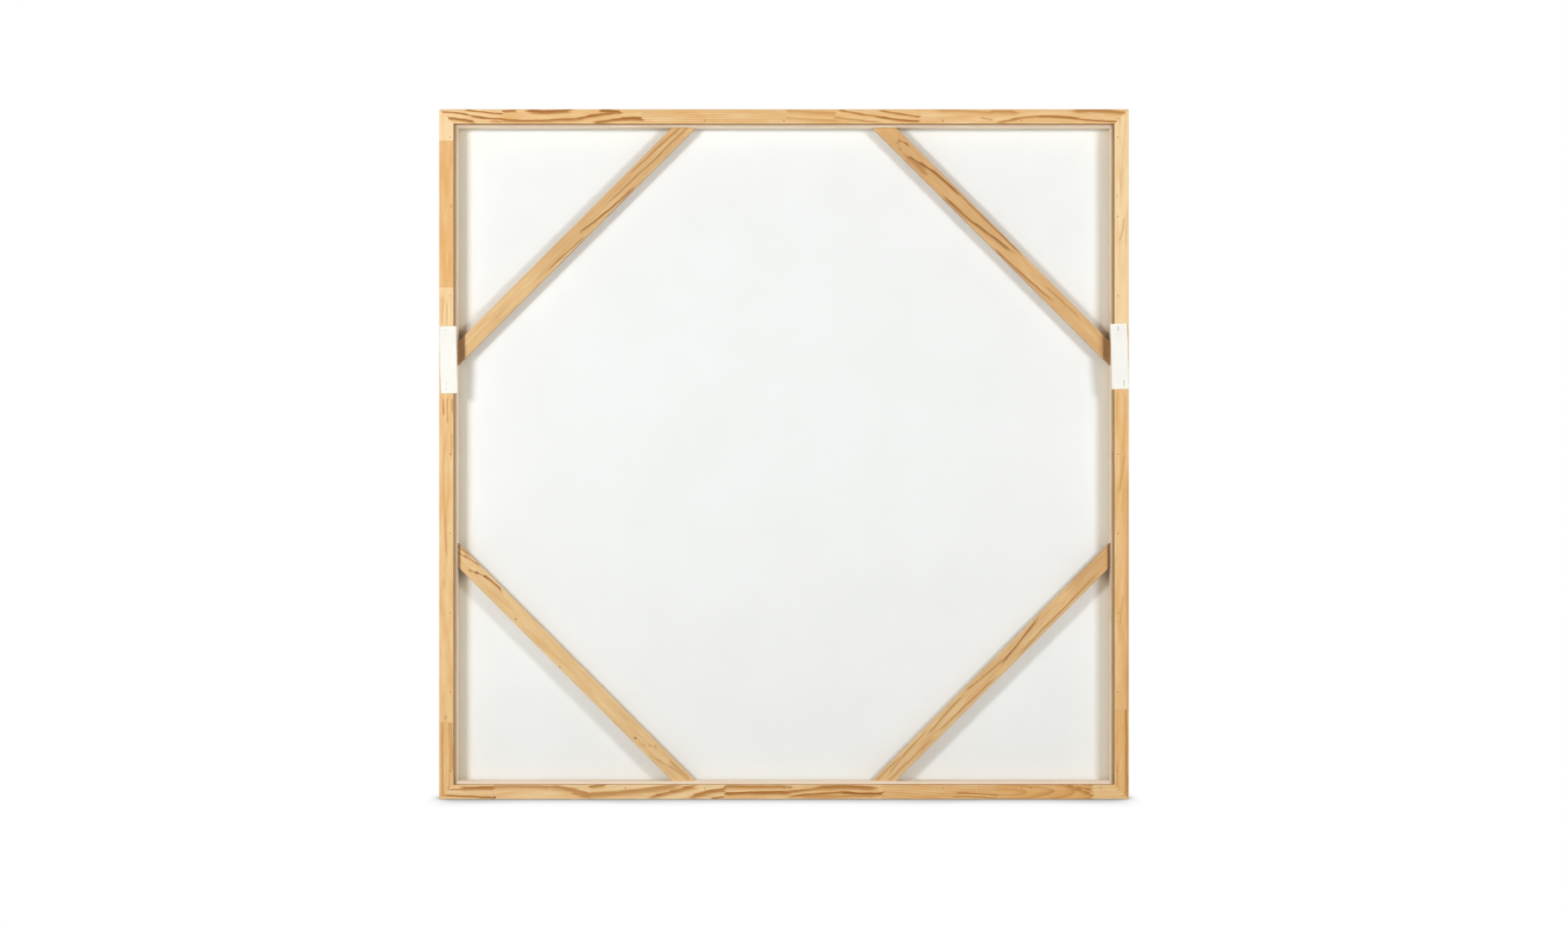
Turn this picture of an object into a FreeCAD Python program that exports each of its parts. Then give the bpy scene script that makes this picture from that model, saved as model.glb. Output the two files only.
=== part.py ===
import FreeCAD, Part
import math
import os

import Sketcher

# A stretched canvas in a pine floater frame, standing upright on its bottom edge.
# Millimetres. The origin is on the underside of the bottom rail, half way along it and half way
# through its depth. +X runs along the rail, +Y points out of the painted front, +Z is up, so the
# back that goes against a wall faces -Y. Most pieces are laid out about the middle of the square
# and then raised by half its height.

Vector = FreeCAD.Vector
Placement = FreeCAD.Placement
Rotation = FreeCAD.Rotation

DIMENSIONS = (
    # floater frame
    ("frame_size", 1245.0),  # outer width, and outer height
    ("frame_depth", 55.0),
    ("wall_thick", 8.0),  # the lip that shows from the front
    ("ledge_width", 26.0),  # the ledge the canvas is screwed back against, from the outer face in
    ("ledge_thick", 12.0),
    ("rail_arris", 1.2),  # radius of the eased long edges
    # stretcher
    ("canvas_size", 1219.0),  # 48 in over the cloth
    ("cloth_thick", 0.6),
    ("flap_margin", 1.2),  # from the inner edge of a bar to the cut edge of the cloth
    ("bar_width", 17.5),
    ("bar_depth", 38.0),
    ("bead_width", 4.0),  # the flat that the cloth bears on
    ("bar_slope", 3.0),  # how far a bar's front falls away from the cloth at its inner edge
    ("bar_arris", 0.8),
    # corner braces
    ("brace_width", 30.0),
    ("brace_thick", 18.0),
    ("brace_reach", 547.0),  # from the middle of the square to a brace's centre line
    ("brace_setback", 10.0),  # from the back of the bars to the back of a brace
    ("brace_arris", 1.0),
    # fasteners
    ("pin_pitch", 143.0),
    ("pin_count", 9.0),
    ("pin_inset", 6.0),  # from the inner edge of the ledge
    ("pin_length", 27.0),
    ("pin_radius", 0.8),
    ("pin_head_radius", 1.3),
    ("pin_head_thick", 1.0),
    ("wedge_leg", 7.0),  # V-nail in plan
    ("wedge_thick", 0.6),
    ("wedge_length", 10.0),
    ("wedge_half_angle", 50.0),
    ("brad_length", 29.0),  # brace to bar
    ("brad_radius", 0.8),
    ("brad_spread", 4.5),
    ("brad_reach", 14.0),  # from the sharp tip of a brace to its brads
    ("brad_depth", 1.5),  # how far a brad is set below the brace's edge
    ("staple_crown", 10.0),
    ("staple_wire", 0.5),
    ("staple_width", 1.1),
    ("cloth_staple_leg", 8.0),
    ("cloth_staple_pitch", 110.0),
    ("cloth_staple_count", 10.0),
    ("cloth_staple_inset", 7.0),  # from the outer face of a bar
    ("corner_staple_leg", 12.0),
    ("cover_staple_leg", 9.5),
    # D-ring hangers and the strips over them
    ("hanger_offset", 606.5),  # from the middle of the square
    ("hanger_shift", 4.0),  # hinge above the middle of its cover strip
    ("strap_width", 12.0),
    ("strap_length", 34.0),
    ("strap_thick", 0.8),
    ("eye_radius", 1.4),  # the rolled eye of the strap
    ("ring_wire_radius", 1.25),
    ("ring_corner_radius", 3.0),
    ("ring_bow_radius", 11.0),
    ("screw_radius", 1.5),
    ("screw_length", 10.0),
    ("screw_head_radius", 3.1),
    ("screw_head_thick", 1.8),
    ("screw_hole_radius", 2.0),
    ("screw_near", 12.0),  # below the hinge
    ("screw_far", 27.0),
    ("cover_width", 30.0),
    ("left_cover_length", 121.0),
    ("right_cover_length", 118.0),
    ("cover_thick", 1.5),
    ("cover_rise", 6.2),  # clear height under the raised middle
    ("cover_top", 29.0),  # half length of the raised middle
    ("cover_foot", 41.0),  # half length between the feet
    ("left_cover_tilt", 1.1),  # degrees, both strips the same way
    ("right_cover_tilt", 1.6),
    ("left_cover_offset", 605.4),
    ("left_cover_height", 170.4),  # above the middle of the square
    ("right_cover_offset", 605.2),
    ("right_cover_height", 176.6),
)

# Lengths that more than one piece needs, from the middle of the square outwards and from the
# frame's mid depth.
HALF = "Dimensions.frame_size / 2"
BACK = "(-Dimensions.frame_depth / 2)"
LEDGE_INNER = f"({HALF} - Dimensions.ledge_width)"
LEDGE_FRONT = f"({BACK} + Dimensions.ledge_thick)"
CLOTH_OUTER = "Dimensions.canvas_size / 2"
BAR_OUTER = f"({CLOTH_OUTER} - Dimensions.cloth_thick)"
BAR_INNER = f"({BAR_OUTER} - Dimensions.bar_width)"
BAR_BACK = f"({LEDGE_FRONT} + Dimensions.cloth_thick)"
BAR_FRONT = f"({BAR_BACK} + Dimensions.bar_depth)"
BRACE_BACK = f"({BAR_BACK} + Dimensions.brace_setback)"
BRACE_FRONT = f"({BRACE_BACK} + Dimensions.brace_thick)"

# Turning a piece of the bottom side about +Y by these angles takes it to each side in turn.
SIDES = (("bottom", 0), ("left", 90), ("top", 180), ("right", 270))
CORNERS = (("lower_left", 0), ("upper_left", 90), ("upper_right", 180), ("lower_right", 270))

doc = FreeCAD.newDocument("StretchedCanvas")
sheet = doc.addObject("Spreadsheet::Sheet", "Dimensions")
for row, (alias, value) in enumerate(DIMENSIONS, start=1):
    sheet.set(f"A{row}", alias)
    sheet.set(f"B{row}", str(value))
    sheet.setAlias(f"B{row}", alias)
doc.recompute()


def number(expression):
    """The value of an expression in the sheet's aliases."""
    return float(sheet.evalExpression(str(expression)))


def dim(alias):
    return float(getattr(sheet, alias))


# ---------------------------------------------------------------- drawing helpers


def new_body(name):
    return doc.addObject("PartDesign::Body", name)


def new_sketch(body, role, offset="0"):
    """An empty sketch on one of the body's own planes, moved along its normal by offset."""
    plane = next(item for item in body.Origin.OriginFeatures if item.Role == role)
    sketch = body.newObject("Sketcher::SketchObject", f"{body.Name}_sketch")
    sketch.AttachmentSupport = [(plane, "")]
    sketch.MapMode = "FlatFace"
    if offset != "0":
        sketch.AttachmentOffset = Placement(Vector(0, 0, number(offset)), Rotation())
        sketch.setExpression("AttachmentOffset.Base.z", f"({offset}) * 1 mm")
    return sketch


def pin_point(sketch, geometry, point, corner):
    """Ties one point of the sketch to the origin by two expressions."""
    for kind, expression in zip(("DistanceX", "DistanceY"), corner):
        constraint = Sketcher.Constraint(kind, -1, 1, geometry, point, number(expression))
        index = sketch.addConstraint(constraint)
        sketch.setExpression(f"Constraints[{index}]", f"({expression}) * 1 mm")


def draw_outline(sketch, corners):
    """A closed outline of straight edges through corners, each a pair of expressions."""
    points = [Vector(number(u), number(v), 0) for u, v in corners]
    first = sketch.GeometryCount
    count = len(points)
    for index, point in enumerate(points):
        sketch.addGeometry(Part.LineSegment(point, points[(index + 1) % count]), False)
    for index in range(count):
        following = first + (index + 1) % count
        sketch.addConstraint(Sketcher.Constraint("Coincident", first + index, 2, following, 1))
    for index, corner in enumerate(corners):
        pin_point(sketch, first + index, 1, corner)


def draw_circle(sketch, centre, radius):
    middle = Vector(number(centre[0]), number(centre[1]), 0)
    circle = Part.Circle(middle, Vector(0, 0, 1), number(radius))
    index = sketch.addGeometry(circle, False)
    pin_point(sketch, index, 3, centre)
    constraint = sketch.addConstraint(Sketcher.Constraint("Radius", index, number(radius)))
    sketch.setExpression(f"Constraints[{constraint}]", f"({radius}) * 1 mm")


def pad(body, sketch, length, symmetric=False, reverse=False):
    feature = body.newObject("PartDesign::Pad", f"{body.Name}_pad")
    feature.Profile = sketch
    feature.SideType = "Symmetric" if symmetric else "One side"
    feature.Reversed = reverse
    feature.setExpression("Length", f"({length}) * 1 mm")
    doc.recompute()
    return feature


def pocket(body, sketch, length):
    """Cuts the sketch equally to both sides of its plane, and checks that it did cut."""
    before = body.Shape.Volume
    feature = body.newObject("PartDesign::Pocket", f"{body.Name}_pocket")
    feature.Profile = sketch
    feature.SideType = "Symmetric"
    feature.setExpression("Length", f"({length}) * 1 mm")
    doc.recompute()
    if body.Shape.Volume > before - 1.0:
        raise ValueError(f"the pocket in {body.Name} cut nothing")
    return feature


def ease(body, radius, wanted):
    """Rounds the edges of the body that wanted picks."""
    base = body.Tip
    names = [f"Edge{n}" for n, edge in enumerate(base.Shape.Edges, start=1) if wanted(edge)]
    feature = body.newObject("PartDesign::Fillet", f"{body.Name}_fillet")
    feature.Base = (base, names)
    feature.setExpression("Radius", f"({radius}) * 1 mm")
    doc.recompute()
    return feature


def cut(name, blank, tools):
    """The blank less everything that is driven through it."""
    before = blank.Shape.Volume
    holes = tools[0]
    if len(tools) > 1:
        holes = doc.addObject("Part::Compound", f"{name}_holes")
        holes.Links = tools
    feature = doc.addObject("Part::Cut", name)
    feature.Base = blank
    feature.Tool = holes
    doc.recompute()
    if feature.Shape.Volume > before - 1.0:
        raise ValueError(f"nothing was cut from {name}")
    return feature


def group(name, copies):
    """One node of identical fasteners: copies is a list of (master, placement)."""
    shapes = []
    for master, placement in copies:
        shape = master.Shape.copy()
        shape.Placement = placement.multiply(shape.Placement)
        shapes.append(shape)
    feature = doc.addObject("Part::Feature", name)
    feature.Shape = Part.makeCompound(shapes)
    feature.Placement = Placement()
    return feature


# ---------------------------------------------------------------- places


def on_side(angle):
    """Takes a piece drawn about the middle of the square, on its bottom side, to another side."""
    return Placement(Vector(0, 0, dim("frame_size") / 2), Rotation(Vector(0, 1, 0), angle))


def place(item, placement):
    item.Placement = placement
    item.setExpression("Placement.Base.z", f"({HALF}) * 1 mm")


def spaced(count, pitch):
    """Positions along a rail, evenly spaced about its middle."""
    return [pitch * (index - (count - 1) / 2) for index in range(int(count))]


# ---------------------------------------------------------------- wooden pieces


def mitre(body, depth):
    """Cuts both ends of a bottom rail at 45 degrees, along the diagonals of the square."""
    sketch = new_sketch(body, "XZ_Plane")
    far = f"({HALF} + 10)"
    corners = (("0", "0"), (f"-{far}", f"-{far}"), (f"-{far}", far), (far, far), (far, f"-{far}"))
    draw_outline(sketch, corners)
    pocket(body, sketch, depth)


def long_edge(edge):
    return edge.Length > dim("frame_size") / 2


def frame_rail(name, angle):
    """An L in section: the outer wall runs the full depth, and the ledge turns in at the back."""
    body = new_body(name)
    wall_inner = f"({HALF} - Dimensions.wall_thick)"
    front = "Dimensions.frame_depth / 2"
    corners = (
        (BACK, f"-{HALF}"),
        (front, f"-{HALF}"),
        (front, f"-{wall_inner}"),
        (LEDGE_FRONT, f"-{wall_inner}"),
        (LEDGE_FRONT, f"-{LEDGE_INNER}"),
        (BACK, f"-{LEDGE_INNER}"),
    )
    sketch = new_sketch(body, "YZ_Plane")
    draw_outline(sketch, corners)
    pad(body, sketch, "Dimensions.frame_size", symmetric=True)

    def outside(edge):
        """Every long edge but the hollow of the L and the two that the cloth bears on."""
        point = edge.valueAt(edge.FirstParameter)
        return long_edge(edge) and abs(point.y - number(LEDGE_FRONT)) > 0.01

    ease(body, "Dimensions.rail_arris", outside)
    mitre(body, "2 * Dimensions.frame_depth")
    place(body, on_side(angle))
    return body


def stretcher_bar(name, angle):
    """A bar whose front slopes away from the cloth, so that only its outer bead touches it."""
    body = new_body(name)
    bead_inner = f"({BAR_OUTER} - Dimensions.bead_width)"
    corners = (
        (BAR_BACK, f"-{BAR_OUTER}"),
        (BAR_FRONT, f"-{BAR_OUTER}"),
        (BAR_FRONT, f"-{bead_inner}"),
        (f"{BAR_FRONT} - Dimensions.bar_slope", f"-{BAR_INNER}"),
        (BAR_BACK, f"-{BAR_INNER}"),
    )
    sketch = new_sketch(body, "YZ_Plane")
    draw_outline(sketch, corners)
    pad(body, sketch, f"2 * {BAR_OUTER}", symmetric=True)

    def inner(edge):
        point = edge.valueAt(edge.FirstParameter)
        return long_edge(edge) and abs(point.z + number(BAR_INNER)) < 0.01

    ease(body, "Dimensions.bar_arris", inner)
    mitre(body, "2 * Dimensions.frame_depth")
    place(body, on_side(angle))
    return body


def corner_brace(name, angle):
    """A flat pine strut across the lower left corner, its ends cut to lie on the two bars."""
    body = new_body(name)
    root = math.sqrt(2)
    near = f"({root} * (Dimensions.brace_reach - Dimensions.brace_width / 2) - {BAR_INNER})"
    far = f"({root} * (Dimensions.brace_reach + Dimensions.brace_width / 2) - {BAR_INNER})"
    corners = (
        (f"-{BAR_INNER}", f"-{near}"),
        (f"-{near}", f"-{BAR_INNER}"),
        (f"-{far}", f"-{BAR_INNER}"),
        (f"-{BAR_INNER}", f"-{far}"),
    )
    # This plane's normal points to -Y.
    sketch = new_sketch(body, "XZ_Plane", f"-{BRACE_FRONT}")
    draw_outline(sketch, corners)
    pad(body, sketch, "Dimensions.brace_thick")

    def along(edge):
        direction = edge.tangentAt(edge.FirstParameter)
        return abs(abs(direction.x) - abs(direction.z)) < 0.01 and abs(direction.y) < 0.01

    ease(body, "Dimensions.brace_arris", along)
    place(body, on_side(angle))
    return body


# ---------------------------------------------------------------- cloth


def box(name, width, depth, height, corner):
    """A block bound to the sheet, with its least corner at three expressions."""
    item = doc.addObject("Part::Box", name)
    for key, expression in zip(("Length", "Width", "Height"), (width, depth, height)):
        item.setExpression(key, f"({expression}) * 1 mm")
    for axis, expression in zip("xyz", corner):
        item.setExpression(f"Placement.Base.{axis}", f"({expression}) * 1 mm")
    return item


def canvas_cloth():
    """One sheet: the face, the four turned sides and the flaps that lie on the backs of the bars."""
    flap_inner = f"({BAR_INNER} + Dimensions.flap_margin)"
    outer = box(
        "canvas_outer",
        "Dimensions.canvas_size",
        "Dimensions.bar_depth + 2 * Dimensions.cloth_thick",
        "Dimensions.canvas_size",
        (f"-{CLOTH_OUTER}", LEDGE_FRONT, f"{HALF} - {CLOTH_OUTER}"),
    )
    hollow = box(
        "canvas_hollow",
        f"2 * {BAR_OUTER}",
        "Dimensions.bar_depth",
        f"2 * {BAR_OUTER}",
        (f"-{BAR_OUTER}", BAR_BACK, f"{HALF} - {BAR_OUTER}"),
    )
    window = box(
        "canvas_window",
        f"2 * {flap_inner}",
        "2 * Dimensions.cloth_thick",
        f"2 * {flap_inner}",
        (f"-{flap_inner}", f"{LEDGE_FRONT} - Dimensions.cloth_thick", f"{HALF} - {flap_inner}"),
    )
    inside = doc.addObject("Part::Fuse", "canvas_inside")
    inside.Base = hollow
    inside.Tool = window
    cloth = doc.addObject("Part::Cut", "canvas_blank")
    cloth.Base = outer
    cloth.Tool = inside
    doc.recompute()
    return cloth


# ---------------------------------------------------------------- fasteners


def turned(name, profile):
    """A solid of revolution about Y from a profile of (radius, length) expressions."""
    body = new_body(name)
    sketch = new_sketch(body, "XY_Plane")
    draw_outline(sketch, profile)
    feature = body.newObject("PartDesign::Revolution", f"{name}_turn")
    feature.Profile = sketch
    feature.ReferenceAxis = (sketch, ["V_Axis"])
    feature.Angle = 360
    doc.recompute()
    return body


def headed_pin():
    """Its head is flush with y = 0 and its point is towards +Y."""
    head = "Dimensions.pin_head_radius"
    shank = "Dimensions.pin_radius"
    under = "Dimensions.pin_head_thick"
    tip = "Dimensions.pin_length"
    shoulder = f"{tip} - 2 * {shank}"
    outline = (("0", "0"), (head, "0"), (head, under), (shank, under), (shank, shoulder), ("0", tip))
    return turned("pin_master", outline)


def hanger_screw():
    """The underside of its head is at y = 0, the head rises to -Y and the point is towards +Y."""
    head = "Dimensions.screw_head_radius"
    shank = "Dimensions.screw_radius"
    tip = "Dimensions.screw_length"
    top = "-Dimensions.screw_head_thick"
    outline = (
        ("0", top),
        (f"0.7 * {head}", top),
        (head, f"0.4 * ({top})"),
        (head, "0"),
        (shank, "0"),
        (shank, f"{tip} - {shank}"),
        ("0", tip),
    )
    return turned("screw_master", outline)


def plain_brad():
    """A headless brad along +Y from y = 0."""
    item = doc.addObject("Part::Cylinder", "brad_master")
    item.setExpression("Radius", "Dimensions.brad_radius * 1 mm")
    item.setExpression("Height", "Dimensions.brad_length * 1 mm")
    item.Placement = Placement(Vector(), Rotation(Vector(1, 0, 0), -90))
    doc.recompute()
    return item


def staple(name, leg):
    """Its crown lies along X with its top at y = 0, and its legs run towards +Y."""
    half = "Dimensions.staple_crown / 2"
    wire = "Dimensions.staple_wire"
    inner = f"({half} - {wire})"
    outline = (
        (f"-{half}", "0"),
        (half, "0"),
        (half, leg),
        (inner, leg),
        (inner, wire),
        (f"-{inner}", wire),
        (f"-{inner}", leg),
        (f"-{half}", leg),
    )
    body = new_body(name)
    sketch = new_sketch(body, "XY_Plane")
    draw_outline(sketch, outline)
    pad(body, sketch, "Dimensions.staple_width", symmetric=True)
    return body


def v_nail():
    """A bent strip, V in plan, point to -Z, driven from y = 0 towards +Y."""
    turn = "Dimensions.wedge_half_angle"
    leg = "Dimensions.wedge_leg"
    across = f"{leg} * sin({turn} * 1 deg)"
    rise = f"{leg} * cos({turn} * 1 deg)"
    thick = f"Dimensions.wedge_thick / sin({turn} * 1 deg)"
    outline = (
        ("0", "0"),
        (across, rise),
        (across, f"{rise} + {thick}"),
        ("0", thick),
        (f"-{across}", f"{rise} + {thick}"),
        (f"-{across}", rise),
    )
    body = new_body("wedge_master")
    sketch = new_sketch(body, "XZ_Plane")
    draw_outline(sketch, outline)
    pad(body, sketch, "Dimensions.wedge_length", reverse=True)
    return body


def frame_pins():
    """Pins through the ledge into the backs of the bars."""
    master = headed_pin()
    along = spaced(dim("pin_count"), dim("pin_pitch"))
    line = -(number(LEDGE_INNER) + dim("pin_inset"))
    copies = []
    for _, angle in SIDES:
        for offset in along:
            seat = Placement(Vector(offset, number(BACK), line), Rotation())
            copies.append((master, on_side(angle).multiply(seat)))
    return group("frame_pins", copies)


def frame_v_nails():
    """Two V-nails across each mitre of the frame, flush with the back of the ledge."""
    master = v_nail()
    reach = number(HALF)
    copies = []
    for _, angle in SIDES:
        for share in (0.25, 0.62):
            inset = share * dim("ledge_width")
            turn = Rotation(Vector(0, 1, 0), 45)
            seat = Placement(Vector(inset - reach, number(BACK), inset - reach), turn)
            copies.append((master, on_side(angle).multiply(seat)))
    return group("frame_v_nails", copies)


def canvas_staples():
    """Staples through the flaps into the backs of the bars, sunk level with the cloth."""
    master = staple("cloth_staple_master", "Dimensions.cloth_staple_leg")
    along = spaced(dim("cloth_staple_count"), dim("cloth_staple_pitch"))
    line = dim("cloth_staple_inset") - number(BAR_OUTER)
    copies = []
    for _, angle in SIDES:
        for offset in along:
            seat = Placement(Vector(offset, number(LEDGE_FRONT), line), Rotation())
            copies.append((master, on_side(angle).multiply(seat)))
    return group("canvas_staples", copies)


def stretcher_corner_staples():
    """Two staples across each mitre of the stretcher, sunk level with the backs of the bars."""
    master = staple("corner_staple_master", "Dimensions.corner_staple_leg")
    reach = number(BAR_OUTER)
    copies = []
    for _, angle in SIDES:
        for share in (0.35, 0.68):
            inset = share * dim("bar_width")
            turn = Rotation(Vector(0, 1, 0), 45)
            seat = Placement(Vector(inset - reach, number(BAR_BACK), inset - reach), turn)
            copies.append((master, on_side(angle).multiply(seat)))
    return group("stretcher_corner_staples", copies)


def brace_brads():
    """Two brads at each end of each brace, square to the bar that the end lies on."""
    master = plain_brad()
    inner = number(BAR_INNER)
    tip = math.sqrt(2) * (dim("brace_reach") - dim("brace_width") / 2) - inner
    middle = (number(BRACE_BACK) + number(BRACE_FRONT)) / 2
    line = -(tip + dim("brad_reach"))
    start = -(inner - dim("brad_reach") + dim("brad_depth"))
    copies = []
    for _, angle in CORNERS:
        for side in (-1, 1):
            depth = middle + side * dim("brad_spread")
            down = Placement(Vector(line, depth, start), Rotation(Vector(1, 0, 0), -90))
            across = Placement(Vector(start, depth, line), Rotation(Vector(0, 0, 1), 90))
            for seat in (down, across):
                copies.append((master, on_side(angle).multiply(seat)))
    return group("brace_brads", copies)


# ---------------------------------------------------------------- hangers and their covers


def hand_of(side):
    """Side is -1 on the left and 1 on the right."""
    return "left" if side < 0 else "right"


def cover_seat(side):
    """The middle of a cover strip, on the back of the frame."""
    hand = hand_of(side)
    height = dim("frame_size") / 2 + dim(f"{hand}_cover_height")
    spot = Vector(side * dim(f"{hand}_cover_offset"), number(BACK), height)
    return Placement(spot, Rotation(Vector(0, 1, 0), -dim(f"{hand}_cover_tilt")))


def hinge_seat(side):
    """The axis of a D-ring: along X, one eye radius and one strap thickness off the ledge."""
    middle = cover_seat(side).Base
    off = dim("eye_radius") + dim("strap_thick")
    height = middle.z + dim("hanger_shift")
    return Placement(Vector(side * dim("hanger_offset"), middle.y - off, height), Rotation())


def hanger_strap(name, side):
    """A steel strap screwed flat on the ledge, its upper end rolled into an eye for the ring."""
    body = new_body(name)
    radius = "Dimensions.eye_radius"
    thick = "Dimensions.strap_thick"
    floor = f"({radius} + {thick})"
    eye = new_sketch(body, "YZ_Plane")
    draw_circle(eye, ("0", "0"), floor)
    draw_circle(eye, ("0", "0"), radius)
    pad(body, eye, "Dimensions.strap_width", symmetric=True)
    # The plate stops just short of the axis, inside the wall of the eye.
    plate_end = f"-0.4 * {radius}"
    plate = new_sketch(body, "YZ_Plane")
    foot = "-Dimensions.strap_length"
    corners = ((radius, plate_end), (floor, plate_end), (floor, foot), (radius, foot))
    draw_outline(plate, corners)
    pad(body, plate, "Dimensions.strap_width", symmetric=True)
    holes = new_sketch(body, "XZ_Plane")
    for drop in ("Dimensions.screw_near", "Dimensions.screw_far"):
        draw_circle(holes, ("0", f"-{drop}"), "Dimensions.screw_hole_radius")
    pocket(body, holes, f"4 * {floor}")

    def foot_corner(edge):
        direction = edge.tangentAt(edge.FirstParameter)
        low = edge.valueAt(edge.FirstParameter).z < number(foot) + 0.01
        return abs(direction.y) > 0.99 and low

    ease(body, "Dimensions.strap_width / 4", foot_corner)
    body.Placement = hinge_seat(side)
    return body


def ring_piece(kind, name, values, placement):
    item = doc.addObject(kind, name)
    for key, expression in values.items():
        unit = "deg" if key.startswith("Angle") else "mm"
        item.setExpression(key, f"({expression}) * 1 {unit}")
    item.Placement = placement
    return item


def d_ring(name, side):
    """A bent wire D: a straight bar in the eye, two round corners, two short sides and the bow."""
    wire = "Dimensions.ring_wire_radius"
    bow = dim("ring_bow_radius")
    corner = dim("ring_corner_radius")
    flat = bow - corner
    flat_length = "Dimensions.ring_bow_radius - Dimensions.ring_corner_radius"
    upright = Rotation(Vector(1, 0, 0), 90)
    along = Rotation(Vector(0, 1, 0), 90)
    pieces = [
        ring_piece(
            "Part::Cylinder",
            f"{name}_bar",
            {"Radius": wire, "Height": f"2 * ({flat_length})"},
            Placement(Vector(-flat, 0, 0), along),
        ),
        ring_piece(
            "Part::Torus",
            f"{name}_bow",
            {"Radius1": "Dimensions.ring_bow_radius", "Radius2": wire, "Angle3": "180"},
            Placement(Vector(0, 0, bow), upright),
        ),
    ]
    for hand in (-1, 1):
        start = 180 if hand < 0 else 270
        turn = upright.multiply(Rotation(Vector(0, 0, 1), start))
        pieces.append(
            ring_piece(
                "Part::Torus",
                f"{name}_corner",
                {"Radius1": "Dimensions.ring_corner_radius", "Radius2": wire, "Angle3": "90"},
                Placement(Vector(hand * flat, 0, corner), turn),
            )
        )
        pieces.append(
            ring_piece(
                "Part::Cylinder",
                f"{name}_upright",
                {"Radius": wire, "Height": flat_length},
                Placement(Vector(hand * bow, 0, corner), Rotation()),
            )
        )
    ring = doc.addObject("Part::MultiFuse", name)
    ring.Shapes = pieces
    ring.Refine = True
    ring.Placement = hinge_seat(side)
    doc.recompute()
    return ring


def hanger_screws():
    master = hanger_screw()
    copies = []
    for side in (-1, 1):
        hinge = hinge_seat(side).Base
        seat_height = number(BACK) - dim("strap_thick")
        for alias in ("screw_near", "screw_far"):
            spot = Vector(hinge.x, seat_height, hinge.z - dim(alias))
            copies.append((master, Placement(spot, Rotation())))
    return group("hanger_screws", copies)


def cover_strip(name, side):
    """A soft strip over the hanger: two feet stapled flat on the rail and a raised middle."""
    body = new_body(f"{name}_blank")
    thick = "Dimensions.cover_thick"
    rise = "Dimensions.cover_rise"
    top = "Dimensions.cover_top"
    foot = "Dimensions.cover_foot"
    end = f"Dimensions.{hand_of(side)}_cover_length / 2"
    # The outer skin stands off the inner one by the thickness, square to the slope.
    slope = f"atan({rise} / ({foot} - {top}))"
    shift = f"{thick} * tan({slope} / 2)"
    outer = (
        (f"-({thick})", f"-{end}"),
        (f"-({thick})", f"-({foot} + {shift})"),
        (f"-({rise} + {thick})", f"-({top} + {shift})"),
        (f"-({rise} + {thick})", f"{top} + {shift}"),
        (f"-({thick})", f"{foot} + {shift}"),
        (f"-({thick})", end),
    )
    inner = (
        ("0", end),
        ("0", foot),
        (f"-{rise}", top),
        (f"-{rise}", f"-{top}"),
        ("0", f"-{foot}"),
        ("0", f"-{end}"),
    )
    sketch = new_sketch(body, "YZ_Plane")
    draw_outline(sketch, outer + inner)
    pad(body, sketch, "Dimensions.cover_width", symmetric=True)

    def fold(edge):
        point = edge.valueAt(edge.FirstParameter)
        across = abs(edge.tangentAt(edge.FirstParameter).x) > 0.99
        return across and abs(point.z) < number(f"{foot} + {shift}") + 0.01

    ease(body, "8 * Dimensions.cover_thick", fold)
    body.Placement = cover_seat(side)
    return body


def cover_staples():
    """One staple near each end of each strip, its crown along the strip."""
    master = staple("cover_staple_master", "Dimensions.cover_staple_leg")
    upright = Rotation(Vector(0, 1, 0), 90)
    proud = dim("cover_thick") + dim("staple_wire")
    # How far each staple lies off the middle line of its strip, and from the strip's end to the
    # middle of the staple, lower one first.
    spots = {-1: ((-5.0, 12.5), (-2.8, 11.0)), 1: ((7.4, 10.7), (-0.4, 9.3))}
    copies = []
    for side in (-1, 1):
        half_length = dim(f"{hand_of(side)}_cover_length") / 2
        for end, (across, from_end) in zip((-1, 1), spots[side]):
            seat = Placement(Vector(across, -proud, end * (half_length - from_end)), upright)
            copies.append((master, cover_seat(side).multiply(seat)))
    return group("cover_staples", copies)


# ---------------------------------------------------------------- assembly


def build():
    pins = frame_pins()
    v_nails = frame_v_nails()
    cloth_staples = canvas_staples()
    corner_staples = stretcher_corner_staples()
    brads = brace_brads()
    screws = hanger_screws()
    strip_staples = cover_staples()
    nodes = [pins, v_nails, cloth_staples, corner_staples, brads, screws, strip_staples]

    for word, angle in SIDES:
        driven = [pins, v_nails]
        if word in ("left", "right"):
            driven += [screws, strip_staples]
        blank = frame_rail(f"frame_rail_{word}_blank", angle)
        nodes.append(cut(f"frame_rail_{word}", blank, driven))

    for word, angle in SIDES:
        blank = stretcher_bar(f"stretcher_bar_{word}_blank", angle)
        nodes.append(cut(f"stretcher_bar_{word}", blank, [pins, cloth_staples, corner_staples, brads]))

    for word, angle in CORNERS:
        blank = corner_brace(f"corner_brace_{word}_blank", angle)
        nodes.append(cut(f"corner_brace_{word}", blank, [brads]))

    nodes.append(cut("canvas_cloth", canvas_cloth(), [pins, cloth_staples]))

    for word, side in (("left", -1), ("right", 1)):
        nodes.append(hanger_strap(f"hanger_strap_{word}", side))
        nodes.append(d_ring(f"hanger_ring_{word}", side))
        blank = cover_strip(f"cover_strip_{word}", side)
        nodes.append(cut(f"cover_strip_{word}", blank, [strip_staples]))
    return nodes


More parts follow.
